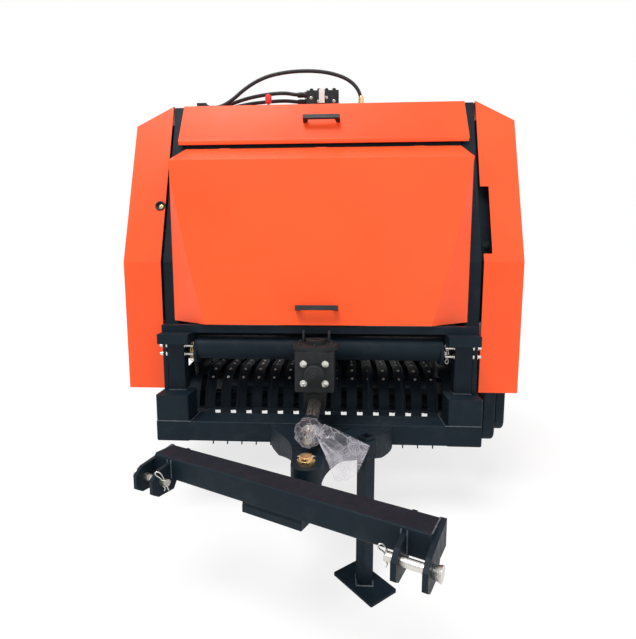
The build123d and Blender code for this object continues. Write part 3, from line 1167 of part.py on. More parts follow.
with BuildPart() as crosshead:
    block((-HOOP_HALF, HOOP_HALF), (back(CROSSHEAD_D), back(CROSSHEAD_D + CROSSHEAD_DEPTH)),
          (CROSSHEAD_HIGH, CROSSHEAD_HIGH + 60))
    for x in (-RAIL_X, RAIL_X):
        rod_z(SCREW_DIA, x, back(CROSSHEAD_D + CROSSHEAD_DEPTH / 2), (CROSSHEAD_HIGH, CROSSHEAD_HIGH + 60),
              Mode.SUBTRACT)
    for side in (-1, 1):
        wall = side * (BALE_WIDE / 2 + CHAMBER_WALL)
        block((wall, wall + side * 12), (back(CROSSHEAD_D), back(CROSSHEAD_D + CROSSHEAD_DEPTH)),
              (CHAMBER_LOW + 40, CROSSHEAD_HIGH))
finish(crosshead, "crosshead")

# Hydraulic hoses over the roof: clamp block, valve block, port, and three hoses
HOSE_DIA = 22
HOSE_D = 800
HOSE_PITCH = 30
CLAMP_X = -740
CLAMP_WIDE = 60
CLAMP_HIGH = 74
HOSE_START = COVER_TOP + 48
VALVE_X = (-108, 96)
VALVE_HIGH = 150
PORT_X = 236
PORT_HIGH = 46

HOSE_ROUTES = {
    "hose_front": (HOSE_D - HOSE_PITCH, [(CLAMP_X, HOSE_START), (-672, HOSE_START), (-584, 2340), (-490, 2418),
                                         (-375, 2478), (-250, 2504), (-130, 2511), (-10, 2505), (97, 2480),
                                         (169, 2445), (215, 2398), (PORT_X, 2346), (PORT_X, COVER_TOP + PORT_HIGH)]),
    "hose_middle": (HOSE_D, [(CLAMP_X, HOSE_START), (-685, HOSE_START), (-605, 2328), (-500, 2362),
                             (-380, 2384), (-250, 2394), (-168, 2378), (VALVE_X[0], 2378)]),
    "hose_rear": (HOSE_D + HOSE_PITCH, [(CLAMP_X, HOSE_START), (-685, HOSE_START), (-600, 2318), (-480, 2342),
                                        (-350, 2352), (-240, 2356), (-165, 2346), (VALVE_X[0], 2346)]),
}


def corner_radii(points):
    """Each arc as large as its two runs allow."""
    radii = []
    for before, here, after in zip(points, points[1:], points[2:]):
        first, second = here - before, after - here
        turn = radians(first.get_angle(second))
        radii.append(0.45 * min(first.length, second.length) / tan(turn / 2))
    return radii


def hose(distance, route):
    """Plain tube along straight runs joined by tangent arcs."""
    points = [Vector(x, back(distance), z) for x, z in route]
    radii = corner_radii(points)
    with BuildPart() as tube:
        with BuildLine() as path:
            FilletPolyline(*points, radius=radii)
        spine = path.wires()[0]
        with BuildSketch(Plane(origin=spine @ 0, z_dir=spine % 0)):
            Circle(HOSE_DIA / 2)
        sweep()
    share = tube.part.volume / (pi * HOSE_DIA ** 2 / 4 * spine.length)
    print("hose radii", [round(r) for r in radii], "volume over section times length", round(share, 4))
    return tube


for name, (distance, route) in HOSE_ROUTES.items():
    finish(hose(distance, route), name)

with BuildPart() as hose_clamp:
    block((CLAMP_X - CLAMP_WIDE, CLAMP_X), (back(HOSE_D - 56), back(HOSE_D + 56)),
          (COVER_TOP, COVER_TOP + CLAMP_HIGH))
finish(hose_clamp, "hose_clamp")

with BuildPart() as valve_block:
    block(VALVE_X, (back(HOSE_D - 15), back(HOSE_D + 65)), (COVER_TOP, COVER_TOP + VALVE_HIGH))
finish(valve_block, "valve_block")

with BuildPart() as hose_port:
    rod_z(34, PORT_X, back(HOSE_D - HOSE_PITCH), (COVER_TOP, COVER_TOP + PORT_HIGH))
finish(hose_port, "hose_port")

# Clear film bag: a neck round the input shaft, a fold forward and a flat pouch beside the nose
BAG_NECK_DIA = 100
BAG_NECK_D = (SPLINE_D + SPLINE_LONG + SEAT_GAP, STAND_D - SEAT_GAP)
BAG_D = -555
BAG_THICK = 10
BAG_FOLD_X = (50, 60)
BAG_OUTLINE = [(50, 712), (240, 628), (196, 524), (150, 482), (104, 480), (104, 600), (50, 620)]

with BuildPart() as film_bag:
    rod_y(BAG_NECK_DIA, 0, (back(BAG_NECK_D[0]), back(BAG_NECK_D[1])), SHAFT_HIGH)
    block((BAG_NECK_DIA / 4, BAG_FOLD_X[1]), (back(BAG_NECK_D[0]), back(BAG_NECK_D[1])),
          (SHAFT_HIGH - 20, SHAFT_HIGH + 20))
    block(BAG_FOLD_X, (back(BAG_D), back(BAG_NECK_D[1])), (SHAFT_HIGH - 20, SHAFT_HIGH + 20))
    rod_y(SHAFT_DIA + 2 * SEAT_GAP, 0, (back(BAG_NECK_D[0]), back(BAG_NECK_D[1])), SHAFT_HIGH, Mode.SUBTRACT)
    with BuildSketch(Plane.XZ.offset(-back(BAG_D))):
        with BuildLine():
            Polyline(*BAG_OUTLINE, close=True)
        make_face()
    extrude(amount=-BAG_THICK)
finish(film_bag, "film_bag")
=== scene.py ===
import json
from math import atan2, cos, pi, radians, sin, tan

import bmesh
import bpy
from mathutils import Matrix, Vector, noise


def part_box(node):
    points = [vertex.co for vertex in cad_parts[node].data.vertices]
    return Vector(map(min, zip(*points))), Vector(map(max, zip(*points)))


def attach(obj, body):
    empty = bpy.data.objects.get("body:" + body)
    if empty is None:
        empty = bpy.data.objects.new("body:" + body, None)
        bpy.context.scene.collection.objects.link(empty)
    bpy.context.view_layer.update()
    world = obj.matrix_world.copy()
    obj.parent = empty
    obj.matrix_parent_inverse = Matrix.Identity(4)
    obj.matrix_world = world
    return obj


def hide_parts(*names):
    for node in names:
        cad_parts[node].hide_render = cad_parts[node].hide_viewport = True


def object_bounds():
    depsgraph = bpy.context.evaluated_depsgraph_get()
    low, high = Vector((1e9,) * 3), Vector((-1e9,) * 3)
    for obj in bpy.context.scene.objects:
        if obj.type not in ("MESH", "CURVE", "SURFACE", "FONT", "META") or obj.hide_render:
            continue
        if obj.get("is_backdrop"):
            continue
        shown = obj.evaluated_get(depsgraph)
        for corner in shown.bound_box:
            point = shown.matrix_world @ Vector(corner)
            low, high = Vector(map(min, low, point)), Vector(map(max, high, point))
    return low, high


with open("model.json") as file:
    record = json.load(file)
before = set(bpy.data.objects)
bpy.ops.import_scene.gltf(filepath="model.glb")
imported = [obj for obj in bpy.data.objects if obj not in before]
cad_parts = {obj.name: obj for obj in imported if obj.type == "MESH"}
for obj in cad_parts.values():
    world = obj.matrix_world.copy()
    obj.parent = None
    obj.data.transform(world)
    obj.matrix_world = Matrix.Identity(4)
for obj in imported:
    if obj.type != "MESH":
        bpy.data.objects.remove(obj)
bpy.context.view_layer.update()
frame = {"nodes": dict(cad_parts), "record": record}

# Millimetres behind the front beam's face, as in the part: d is a depth, z a height
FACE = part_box("front_frame")[0][1]
SIDES = (("left", -1), ("right", 1))
UP, AHEAD, RIGHT = (0, 0, 1), (0, -1, 0), (1, 0, 0)

# Places that more than one piece uses
ROOF = 2250
SHAFT_HIGH = 650
SHAFT_RADIUS = 17.5
PIVOT_D = -620
REEL_D, REEL_HIGH, BAND_RADIUS = 590, 450, 225
BAND_PITCH = 1600 / 17
POST_IN, POST_OUT, POST_OUTSIDE = 706, 798, 822
POST_LOW, POST_HIGH = 646, 909
POST_PIN_D = 114


def spot(x, d, z):
    """A point in metres from millimetres across, behind the beam's face and up."""
    return Vector((x / 1000, FACE + d / 1000, z / 1000))


# Materials
def shader(name):
    material = bpy.data.materials.new(name)
    material.use_nodes = True
    tree = material.node_tree
    return material, tree, tree.nodes["Principled BSDF"]


def add_noise(tree, scale, detail=4, rough=0.55, stretch=None):
    place = tree.nodes.new("ShaderNodeTexCoord")
    out = place.outputs["Object"]
    if stretch:
        mapping = tree.nodes.new("ShaderNodeMapping")
        mapping.inputs["Scale"].default_value = stretch
        tree.links.new(out, mapping.inputs["Vector"])
        out = mapping.outputs["Vector"]
    texture = tree.nodes.new("ShaderNodeTexNoise")
    texture.inputs["Scale"].default_value = scale
    texture.inputs["Detail"].default_value = detail
    texture.inputs["Roughness"].default_value = rough
    tree.links.new(out, texture.inputs["Vector"])
    return texture.outputs["Fac"]


def remap(tree, value, low, high, to_low, to_high):
    node = tree.nodes.new("ShaderNodeMapRange")
    for key, number in zip(("From Min", "From Max", "To Min", "To Max"), (low, high, to_low, to_high)):
        node.inputs[key].default_value = number
    tree.links.new(value, node.inputs["Value"])
    return node.outputs["Result"]


def blend_colours(tree, factor, first, second):
    node = tree.nodes.new("ShaderNodeMix")
    node.data_type = "RGBA"
    tree.links.new(factor, node.inputs["Factor"])
    for socket, value in ((node.inputs["A"], first), (node.inputs["B"], second)):
        if isinstance(value, bpy.types.NodeSocket):
            tree.links.new(value, socket)
        else:
            socket.default_value = (*value, 1)
    return node.outputs["Result"]


def larger(tree, first, second):
    """The larger of two values in a node tree."""
    node = tree.nodes.new("ShaderNodeMath")
    node.operation = "MAXIMUM"
    tree.links.new(first, node.inputs[0])
    tree.links.new(second, node.inputs[1])
    return node.outputs["Value"]


def surface(name, colour, worn, rough=(0.3, 0.45), metal=0.0, coat=0.0, patch=3.0, grain=400.0, bump=0.02,
            round_edge=0.0, stretch=None, dust=None, shine=0.5):
    """Painted, rubber or metal finish: patchy colour, uneven gloss, fine grain and softened edges."""
    material, tree, bsdf = shader(name)
    large = add_noise(tree, patch, 6, 0.6)
    tone = blend_colours(tree, remap(tree, large, 0.42, 0.72, 0, 1), colour, worn)
    if dust:
        low = add_noise(tree, 9.0, 8, 0.65)
        tone = blend_colours(tree, remap(tree, low, 0.52, 0.78, 0, 0.55), tone, dust)
    tree.links.new(tone, bsdf.inputs["Base Color"])
    tree.links.new(remap(tree, add_noise(tree, patch * 7, 5), 0.3, 0.7, *rough), bsdf.inputs["Roughness"])
    bsdf.inputs["Metallic"].default_value = metal
    bsdf.inputs["Specular IOR Level"].default_value = shine
    bsdf.inputs["Coat Weight"].default_value = coat
    bsdf.inputs["Coat Roughness"].default_value = 0.12
    relief = tree.nodes.new("ShaderNodeBump")
    relief.inputs["Strength"].default_value = bump
    relief.inputs["Distance"].default_value = 0.002
    tree.links.new(add_noise(tree, grain, 3, stretch=stretch), relief.inputs["Height"])
    if round_edge:
        edge = tree.nodes.new("ShaderNodeBevel")
        edge.samples = 4
        edge.inputs["Radius"].default_value = round_edge
        tree.links.new(edge.outputs["Normal"], relief.inputs["Normal"])
    tree.links.new(relief.outputs["Normal"], bsdf.inputs["Normal"])
    return material


ORANGE = surface("orange_paint", (0.96, 0.098, 0.021), (0.92, 0.086, 0.017), (0.30, 0.42), coat=0.06,
                 patch=1.6, grain=70, bump=0.012, round_edge=0.003, shine=0.22)
DARK = surface("frame_paint", (0.0050, 0.0115, 0.0180), (0.0085, 0.0155, 0.0225), (0.42, 0.60), patch=5,
               grain=320, bump=0.05, round_edge=0.003, dust=(0.022, 0.029, 0.037), shine=0.12)
CAST = surface("cast_dark", (0.008, 0.010, 0.012), (0.018, 0.018, 0.018), (0.48, 0.64), patch=14,
               grain=520, bump=0.35, round_edge=0.004, dust=(0.040, 0.033, 0.028), shine=0.25)
RIM = surface("rim_paint", (0.55, 0.54, 0.5), (0.42, 0.41, 0.38), (0.35, 0.5), coat=0.1, patch=6,
              bump=0.05, round_edge=0.002, dust=(0.25, 0.2, 0.14))
HOSE = surface("hose_rubber", (0.010, 0.010, 0.012), (0.022, 0.022, 0.024), (0.38, 0.55), patch=30,
               grain=900, bump=0.25, shine=0.35)
TYRE = surface("tyre_rubber", (0.018, 0.018, 0.018), (0.034, 0.032, 0.03), (0.6, 0.8), patch=12,
               grain=600, bump=0.3, dust=(0.09, 0.075, 0.055), shine=0.3)
BLACK = surface("black_plastic", (0.012, 0.012, 0.014), (0.02, 0.02, 0.022), (0.4, 0.52), patch=20,
                grain=1300, bump=0.25, round_edge=0.002, shine=0.35)
STEEL = surface("bare_steel", (0.62, 0.61, 0.58), (0.46, 0.44, 0.40), (0.2, 0.38), metal=1, patch=25,
                grain=500, bump=0.12, stretch=(1, 14, 14), round_edge=0.001)
GOLD = surface("gold_zinc", (0.74, 0.50, 0.24), (0.55, 0.42, 0.24), (0.25, 0.42), metal=1, patch=40,
               grain=600, bump=0.1, round_edge=0.001)
VALVE = surface("valve_metal", (0.018, 0.018, 0.02), (0.04, 0.04, 0.042), (0.35, 0.5), metal=0.4,
                patch=25, grain=500, bump=0.2, round_edge=0.002, shine=0.3)
RED = surface("red_plastic", (0.72, 0.03, 0.02), (0.6, 0.02, 0.015), (0.3, 0.4), patch=40, grain=800,
              bump=0.08)
# Weld beads coloured lighter than the dark frame paint: a painted highlight along the edges that they
# follow.
WELD_HIGHLIGHT = surface("weld_bead_highlight", (0.045, 0.058, 0.068), (0.11, 0.12, 0.13), (0.3, 0.45), patch=60, grain=260,
               bump=0.7)
WHITE = surface("white_card", (0.75, 0.75, 0.72), (0.62, 0.62, 0.6), (0.6, 0.75), patch=40, grain=900,
                bump=0.1)


def film():
    """Clear film: nearly see-through, with sharp bumped creases; painted highlights make the creases and
    grazing edges more opaque.
    """
    material, tree, bsdf = shader("clear_film")
    place = tree.nodes.new("ShaderNodeTexCoord")
    creases = tree.nodes.new("ShaderNodeTexVoronoi")
    creases.feature = "DISTANCE_TO_EDGE"
    creases.inputs["Scale"].default_value = 24
    tree.links.new(place.outputs["Object"], creases.inputs["Vector"])
    bend = tree.nodes.new("ShaderNodeBump")
    bend.inputs["Strength"].default_value = 0.7
    bend.inputs["Distance"].default_value = 0.004
    tree.links.new(creases.outputs["Distance"], bend.inputs["Height"])
    tree.links.new(bend.outputs["Normal"], bsdf.inputs["Normal"])
    cover = remap(tree, add_noise(tree, 11, 5, 0.6), 0.40, 0.68, 0.06, 0.42)
    rim = tree.nodes.new("ShaderNodeLayerWeight")
    rim.inputs["Blend"].default_value = 0.35
    # Painted highlights: the crease lines and the grazing edges are made more opaque, so the pale film
    # colour shows there.
    cover = larger(tree, cover, remap(tree, creases.outputs["Distance"], 0.0, 0.03, 0.62, 0.0))
    cover = larger(tree, cover, remap(tree, rim.outputs["Facing"], 0.45, 1.0, 0.0, 0.85))
    tree.links.new(cover, bsdf.inputs["Alpha"])
    bsdf.inputs["Base Color"].default_value = (0.68, 0.66, 0.72, 1)
    tree.links.new(remap(tree, add_noise(tree, 60, 3), 0.3, 0.7, 0.08, 0.22), bsdf.inputs["Roughness"])
    bsdf.inputs["Specular IOR Level"].default_value = 0.9
    return material


FILM = film()

SLOT_LOOKS = {"orange_paint": ORANGE, "frame_paint": DARK, "cast_dark": CAST, "rim_paint": RIM,
              "hose_rubber": HOSE, "tyre_rubber": TYRE, "black_plastic": BLACK, "bare_steel": STEEL,
              "gold_zinc": GOLD, "valve_metal": VALVE, "clear_film": FILM}
SLOTS = {part["node"]: part["material_slot"] for part in frame["record"]["subparts"]}
for node, thing in frame["nodes"].items():
    thing.data.materials.clear()
    thing.data.materials.append(SLOT_LOOKS[SLOTS[node]])


# Making pieces
def show(thing):
    bpy.context.scene.collection.objects.link(thing)
    return thing


def carry(thing, body):
    """Rides a piece on a body."""
    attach(thing, body)
    return thing


def piece(name, mesh, body, look, smooth=35):
    """Turns a bmesh into a piece that rides on a body and takes the given finish."""
    data = bpy.data.meshes.new(name)
    bmesh.ops.recalc_face_normals(mesh, faces=mesh.faces)
    mesh.to_mesh(data)
    mesh.free()
    thing = show(bpy.data.objects.new(name, data))
    data.materials.append(look)
    data.shade_smooth()
    data.set_sharp_from_angle(angle=radians(smooth))
    return carry(thing, body)


def skin(mesh, loops, round_loops=True, joined=False):
    """Joins each loop of points to the next with four-sided faces, and the last to the first if joined."""
    pairs = list(zip(loops, loops[1:]))
    if joined:
        pairs.append((loops[-1], loops[0]))
    for one, two in pairs:
        count = len(one)
        for n in range(count if round_loops else count - 1):
            after = (n + 1) % count
            mesh.faces.new((one[n], one[after], two[after], two[n]))


def turned(mesh, profile, centre, axis, sides=24):
    """Adds a turned form: profile pairs are (along the axis, radius), in millimetres."""
    axis = Vector(axis).normalized()
    across = axis.orthogonal().normalized()
    third = axis.cross(across)
    rings = []
    for along, radius in profile:
        rings.append([mesh.verts.new(centre + (axis * along + (across * cos(2 * pi * n / sides)
                                     + third * sin(2 * pi * n / sides)) * radius) / 1000)
                      for n in range(sides)])
    skin(mesh, rings)
    mesh.faces.new(rings[0][::-1])
    mesh.faces.new(rings[-1])


def ring(mesh, centre, axis, radius, thick, sides=32, round_sides=10, long=0.0, along=None):
    """Adds a ring of round section, or a chain link where long stretches it along a direction."""
    axis = Vector(axis).normalized()
    across = Vector(along).normalized() if along else axis.orthogonal().normalized()
    third = axis.cross(across)
    loops = []
    for n in range(sides):
        turn = 2 * pi * n / sides
        out = across * cos(turn) + third * sin(turn)
        push = across * (long / 2 if cos(turn) > 0 else -long / 2)
        loop = []
        for m in range(round_sides):
            tilt = 2 * pi * m / round_sides
            offset = push + out * (radius + thick / 2 * cos(tilt)) + axis * thick / 2 * sin(tilt)
            loop.append(mesh.verts.new(centre + offset / 1000))
        loops.append(loop)
    skin(mesh, loops, joined=True)


ORDERS = {"xz": lambda a, b, c: (a, c, b), "xd": lambda a, b, c: (a, b, c), "dz": lambda a, b, c: (c, a, b)}


def slab(mesh, outline, low, high, plane="xz"):
    """Adds a plate: an outline in one plane, carried from low to high along the third direction."""
    place = ORDERS[plane]
    ends = [[mesh.verts.new(spot(*place(a, b, c))) for a, b in outline] for c in (low, high)]
    mesh.faces.new(ends[0])
    mesh.faces.new(ends[1][::-1])
    skin(mesh, ends)


def bolt(mesh, centre, axis, across=17, high=9):
    """Washer, chamfered hexagon head and stud end."""
    half = across / 2
    turned(mesh, ((0, half * 1.45), (2.0, half * 1.45), (2.4, half * 1.35)), centre, axis, 20)
    turned(mesh, ((2.2, half * 1.12), (high - 1.5, half * 1.15), (high, half * 0.92)), centre, axis, 6)
    stud = ((high - 0.5, half * 0.5), (high + 3.4, half * 0.5), (high + 4.4, half * 0.4))
    turned(mesh, stud, centre, axis, 12)


def wire(name, points, diameter, body, look, order=3):
    """Round wire or bead along a smooth line through points in millimetres."""
    curve = bpy.data.curves.new(name, "CURVE")
    curve.dimensions = "3D"
    curve.bevel_depth = diameter / 2000
    curve.bevel_resolution = 3
    curve.resolution_u = 8
    curve.use_fill_caps = True
    line = curve.splines.new("NURBS")
    line.points.add(len(points) - 1)
    for point, place in zip(line.points, points):
        point.co = (*spot(*place), 1)
    line.order_u = order
    line.use_endpoint_u = True
    thing = show(bpy.data.objects.new(name, curve))
    curve.materials.append(look)
    return carry(thing, body)


# Camera, at the photograph's place
FOCAL_PX = 450
LONG_SIDE_PX = 639
SENSOR = 36
CAMERA_AHEAD = 2203
CAMERA_X = 132.5
CAMERA_HIGH = 1320
PITCH, YAW = 7.16, 3.2
lens = bpy.data.cameras.new("camera")
lens.sensor_width = SENSOR
lens.lens = FOCAL_PX * SENSOR / LONG_SIDE_PX
camera = show(bpy.data.objects.new("camera", lens))
camera.location = spot(CAMERA_X, -CAMERA_AHEAD, CAMERA_HIGH)
camera.rotation_euler = (radians(90 - PITCH), 0, radians(YAW))
bpy.context.scene.camera = camera

# Hydraulic hoses, free cords between the clamp, the valve block and the port. The routes are
# control points, so the line between them is a little shorter than they are.
HOSE_DIA = 22
CLAMP_X, CLAMP_HIGH = -740, 2298
VALVE_X, PORT_X = -108, 236
FRONT_D, MIDDLE_D, REAR_D = 770, 800, 830
MIDDLE_END, REAR_END = 2378, 2346
HOSES = {
    "hose_front": (FRONT_D, [(CLAMP_X, CLAMP_HIGH), (-672, 2298), (-584, 2340), (-490, 2418), (-375, 2478),
                             (-250, 2504), (-130, 2511), (-10, 2505), (97, 2480), (169, 2445), (215, 2398),
                             (PORT_X, 2346), (PORT_X, ROOF + 46)]),
    "hose_middle": (MIDDLE_D, [(CLAMP_X, CLAMP_HIGH), (-685, 2298), (-605, 2328), (-500, 2362), (-380, 2384),
                               (-250, 2394), (-168, 2378), (VALVE_X, MIDDLE_END)]),
    "hose_rear": (REAR_D, [(CLAMP_X, CLAMP_HIGH), (-685, 2298), (-600, 2318), (-480, 2342), (-350, 2352),
                           (-240, 2356), (-165, 2346), (VALVE_X, REAR_END)]),
}
for name, (depth, route) in HOSES.items():
    hose = wire(name + "_rubber", [(x, depth, z) for x, z in route], HOSE_DIA, "chassis", HOSE)
    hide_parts(name)

# Crimped hose ends: a ribbed shell and a nut, at the clamp, the block and the port
FERRULE = ((0, 19), (14, 19), (15, 14), (20, 14), (21, 16.5), (30, 16.5), (31, 15), (35, 15), (36, 16.5),
           (46, 16.5), (47, 15), (51, 15), (52, 16), (58, 13))
ends = bmesh.new()
for depth in (FRONT_D, MIDDLE_D, REAR_D):
    turned(ends, FERRULE, spot(CLAMP_X, depth, CLAMP_HIGH), RIGHT)
for depth, height in ((MIDDLE_D, MIDDLE_END), (REAR_D, REAR_END)):
    turned(ends, FERRULE, spot(VALVE_X, depth, height), (-1, 0, 0))
piece("hose_ends", ends, "chassis", VALVE)
ends = bmesh.new()
turned(ends, FERRULE, spot(PORT_X, FRONT_D, ROOF + 44), UP)
turned(ends, ((0, 24), (12, 24), (14, 21)), spot(PORT_X, FRONT_D, ROOF + 26), UP, 6)
piece("port_fitting", ends, "chassis", GOLD)

# Valve block: spool sections with their caps, tie bolts, an end plug and a blank white card
VALVE_HIGH, VALVE_FRONT, VALVE_MIDDLE_D = 2400, 785, 825
SECTION_COUNT, SECTION_PITCH, SECTION_START = 4, 48, -96
SECTION = ((0, 2262), (36, 2262), (40, 2270), (40, 2378), (32, 2388), (4, 2388), (-2, 2378), (-2, 2270))
SECTION_MIDDLE = 18
sections = bmesh.new()
for n in range(SECTION_COUNT):
    x = SECTION_START + SECTION_PITCH * n
    slab(sections, [(x + across, z) for across, z in SECTION], VALVE_FRONT - 9, VALVE_FRONT)
    turned(sections, ((0, 15), (9, 15), (10, 12), (20, 12), (23, 9)),
           spot(x + SECTION_MIDDLE, VALVE_MIDDLE_D, VALVE_HIGH), UP, 20)
    turned(sections, ((0, 13), (8, 13), (10, 9)), spot(x + SECTION_MIDDLE, VALVE_FRONT - 8, 2284), AHEAD, 6)
piece("valve_sections", sections, "chassis", VALVE)
TIE_BOLTS_HIGH = (2352, 2330, 2352, 2330)
caps = bmesh.new()
for n, high in enumerate(TIE_BOLTS_HIGH):
    x = SECTION_START + SECTION_MIDDLE + SECTION_PITCH * n
    bolt(caps, spot(x, VALVE_FRONT - 8, high), AHEAD, 13, 7)
PLUG = ((0, 11), (10, 11), (11, 9), (24, 9), (25, 11), (30, 11))
turned(caps, PLUG, spot(96, VALVE_MIDDLE_D, 2320), RIGHT, 20)
piece("valve_caps", caps, "chassis", STEEL)
card = bmesh.new()
slab(card, ((-27, 2316), (8, 2316), (8, 2399), (-27, 2399)), VALVE_FRONT - 24, VALVE_FRONT - 22)
slab(card, ((-11, 2390), (-8, 2390), (-8, 2404), (-11, 2404)), VALVE_FRONT - 22, VALVE_FRONT + 2)
piece("blank_card", card, "chassis", WHITE)

# Filler neck on the roof with its grip cap
NECK_STEM = ((0, 13), (4, 13), (5, 7.5), (56, 7.5), (58, 10), (62, 10))
NECK_CAP = ((58, 16), (62, 20), (66, 20), (68, 18.5), (74, 18.5), (76, 20), (98, 20), (106, 17), (110, 9))
FILLER_AT = (-341, 728, ROOF)
filler = bmesh.new()
turned(filler, NECK_STEM, spot(*FILLER_AT), UP)
turned(filler, NECK_CAP, spot(*FILLER_AT), UP, 28)
piece("filler_cap", filler, "chassis", RED)

# Gearbox: large bolts on the front face
GEARBOX_FACE_D = -150
bolts = bmesh.new()
for x in (-51, 51):
    for z in (758, 851):
        bolt(bolts, spot(x, GEARBOX_FACE_D, z), AHEAD, 23, 13)
piece("gearbox_bolts", bolts, "chassis", STEEL)

# Gearbox: bolt circle on top, bearing cover, rim of the lower housing and the bracket on top
GEARBOX_TOP, GEARBOX_D, TOP_CIRCLE = 929, -38, 88
BEARING_COVER = ((0, 48), (5, 48), (8, 44), (9, 30), (14, 29), (16, 24))
BEARING_AT = (0, -164, 802)
bolts = bmesh.new()
for n in range(6):
    angle = radians(60 * n + 30)
    place = spot(TOP_CIRCLE * cos(angle), GEARBOX_D + TOP_CIRCLE * sin(angle), GEARBOX_TOP)
    bolt(bolts, place, UP, 16, 8)
turned(bolts, BEARING_COVER, spot(*BEARING_AT), AHEAD, 40)
turned(bolts, ((0, 15), (22, 15), (24, 13)), spot(*BEARING_AT), AHEAD, 24)
ring(bolts, spot(0, -116, SHAFT_HIGH), (0, 1, 0), 49, 9, 48)
BRACKET = ((-70, 929), (70, 929), (70, 985), (58, 985), (56, 946), (-56, 946), (-58, 985), (-70, 985))
BRACKET_CHEEK = ((-2, 929), (22, 929), (22, 978), (14, 984), (4, 978), (-2, 950))
CHEEK_X, CHEEK_HALF = 64, 5
slab(bolts, BRACKET, 22, 32)
for side in (-1, 1):
    slab(bolts, BRACKET_CHEEK, side * CHEEK_X - CHEEK_HALF, side * CHEEK_X + CHEEK_HALF, "dz")
piece("gearbox_cover", bolts, "chassis", CAST)

# Stripper band bolts: two on the flat and two on the bend of each full band
FULL_BANDS = range(-7, 8)
BAND_BOLT_SEAT = 0.4
bolts = bmesh.new()
for n in FULL_BANDS:
    x = BAND_PITCH * n
    for depth in (610, 690):
        bolt(bolts, spot(x, depth, REEL_HIGH + BAND_RADIUS), UP, 13, 6)
    for lean in (20, 38):
        reach = BAND_RADIUS + BAND_BOLT_SEAT
        place = spot(x, REEL_D - reach * sin(radians(lean)), REEL_HIGH + reach * cos(radians(lean)))
        bolt(bolts, place, (0, -sin(radians(lean)), cos(radians(lean))), 12, 5)
piece("band_bolts", bolts, "pickup", STEEL)

# Sleeves on the wind guard's rod, one at every second band
GUARD_D, GUARD_HIGH = 272, 490
sleeves = bmesh.new()
for n in range(-7, 8, 2):
    turned(sleeves, ((-11, 9.5), (-10, 11), (10, 11), (11, 9.5)), spot(BAND_PITCH * n, GUARD_D, GUARD_HIGH),
           RIGHT, 20)
piece("guard_sleeves", sleeves, "pickup", DARK)


# Spring clips
def spring_clip(name, body, x, d, z, along, aside, size=1.0, look=STEEL):
    """R-shaped wire clip: a straight leg, an eye, and a waved leg."""
    shape = ((-30, 0), (18, 0), (30, 1), (39, 6), (41, 14), (35, 20), (26, 19), (20, 12), (10, 7), (0, 11),
             (-8, 14), (-16, 9), (-24, 8), (-32, 14))
    base, along, aside = Vector((x, d, z)), Vector(along).normalized(), Vector(aside).normalized()
    points = [tuple(base + (along * a + aside * b) * size) for a, b in shape]
    return wire(name, points, 4 * size, body, look)


POST_CLIP_X = 672
for word, side in SIDES:
    for row, height in (("low", 840), ("high", 884)):
        spring_clip(f"post_clip_{word}_{row}", "chassis", side * POST_CLIP_X, POST_PIN_D, height,
                    (side * 0.25, 0.1, -1), (-side, -0.3, 0.1), 1.0, GOLD if side < 0 else STEEL)

# Cheeks that make up the outer width which the posts' solids lack
CHEEK = ((102, POST_LOW), (164, POST_LOW), (164, POST_HIGH), (102, POST_HIGH))
cheeks = bmesh.new()
for side in (-1, 1):
    slab(cheeks, CHEEK, side * 798.5, side * POST_OUTSIDE, "dz")
piece("post_cheeks", cheeks, "chassis", DARK)

# Washers and heads on the posts' pins
washers = bmesh.new()
for side in (-1, 1):
    for z in (840, 885):
        turned(washers, ((0, 15), (3, 15), (4, 14)), spot(side * POST_IN, POST_PIN_D, z), (-side, 0, 0), 20)
        turned(washers, ((0, 14), (3, 14), (4, 9), (18, 9), (20, 7)),
               spot(side * POST_OUTSIDE, POST_PIN_D, z), (side, 0, 0), 20)
piece("post_washers", washers, "chassis", STEEL)

# Short chain between the left post and the pickup's end plate, two links to each stretch
CHAIN = ((-676, 150, 818), (-670, 176, 782), (-676, 202, 752), (-684, 226, 724), (-692, 250, 698))
LINK_RADIUS, LINK_WIRE, LINK_LONG = 8, 4.4, 14
chain = bmesh.new()
for one, two in zip(CHAIN, CHAIN[1:]):
    one, two = spot(*one), spot(*two)
    way = (two - one).normalized()
    for m in range(2):
        middle = one.lerp(two, 0.27 + 0.5 * m)
        flat = Vector(RIGHT) if m else way.cross(Vector(RIGHT))
        ring(chain, middle, flat, LINK_RADIUS, LINK_WIRE, 16, 8, LINK_LONG, way)
piece("post_chain", chain, "chassis", CAST)


# Weld beads
def weld(mesh, start, stop, thick=6, pitch=7):
    """Adds a row of overlapping ripples between two points in millimetres."""
    start, stop = spot(*start), spot(*stop)
    count = max(2, int((stop - start).length * 1000 / pitch))
    way = (stop - start).normalized()
    for n in range(count):
        size = thick * (0.9 + 0.2 * noise.noise(start * 40 + way * n))
        turned(mesh, ((-pitch * 0.7, size * 0.15), (-pitch * 0.35, size * 0.42), (pitch * 0.2, size * 0.5),
                      (pitch * 0.7, size * 0.2)), start.lerp(stop, (n + 0.5) / count), way, 8)


beads = bmesh.new()
for side in (-1, 1):
    post_in, post_out = side * POST_IN, side * POST_OUT
    weld(beads, (side * 648, 0, 508), (side * 826, 0, 508))
    weld(beads, (post_in, 100, POST_LOW), (post_out, 100, POST_LOW))
    weld(beads, (post_in, 166, POST_LOW), (post_out, 166, POST_LOW))
    weld(beads, (post_in, 100, POST_HIGH), (post_out, 100, POST_HIGH))
    weld(beads, (post_in, 102, POST_LOW), (post_in, 164, POST_LOW))
    weld(beads, (side * 645, 2, 512), (side * 645, 160, 512))
piece("frame_welds", beads, "chassis", WELD_HIGHLIGHT)

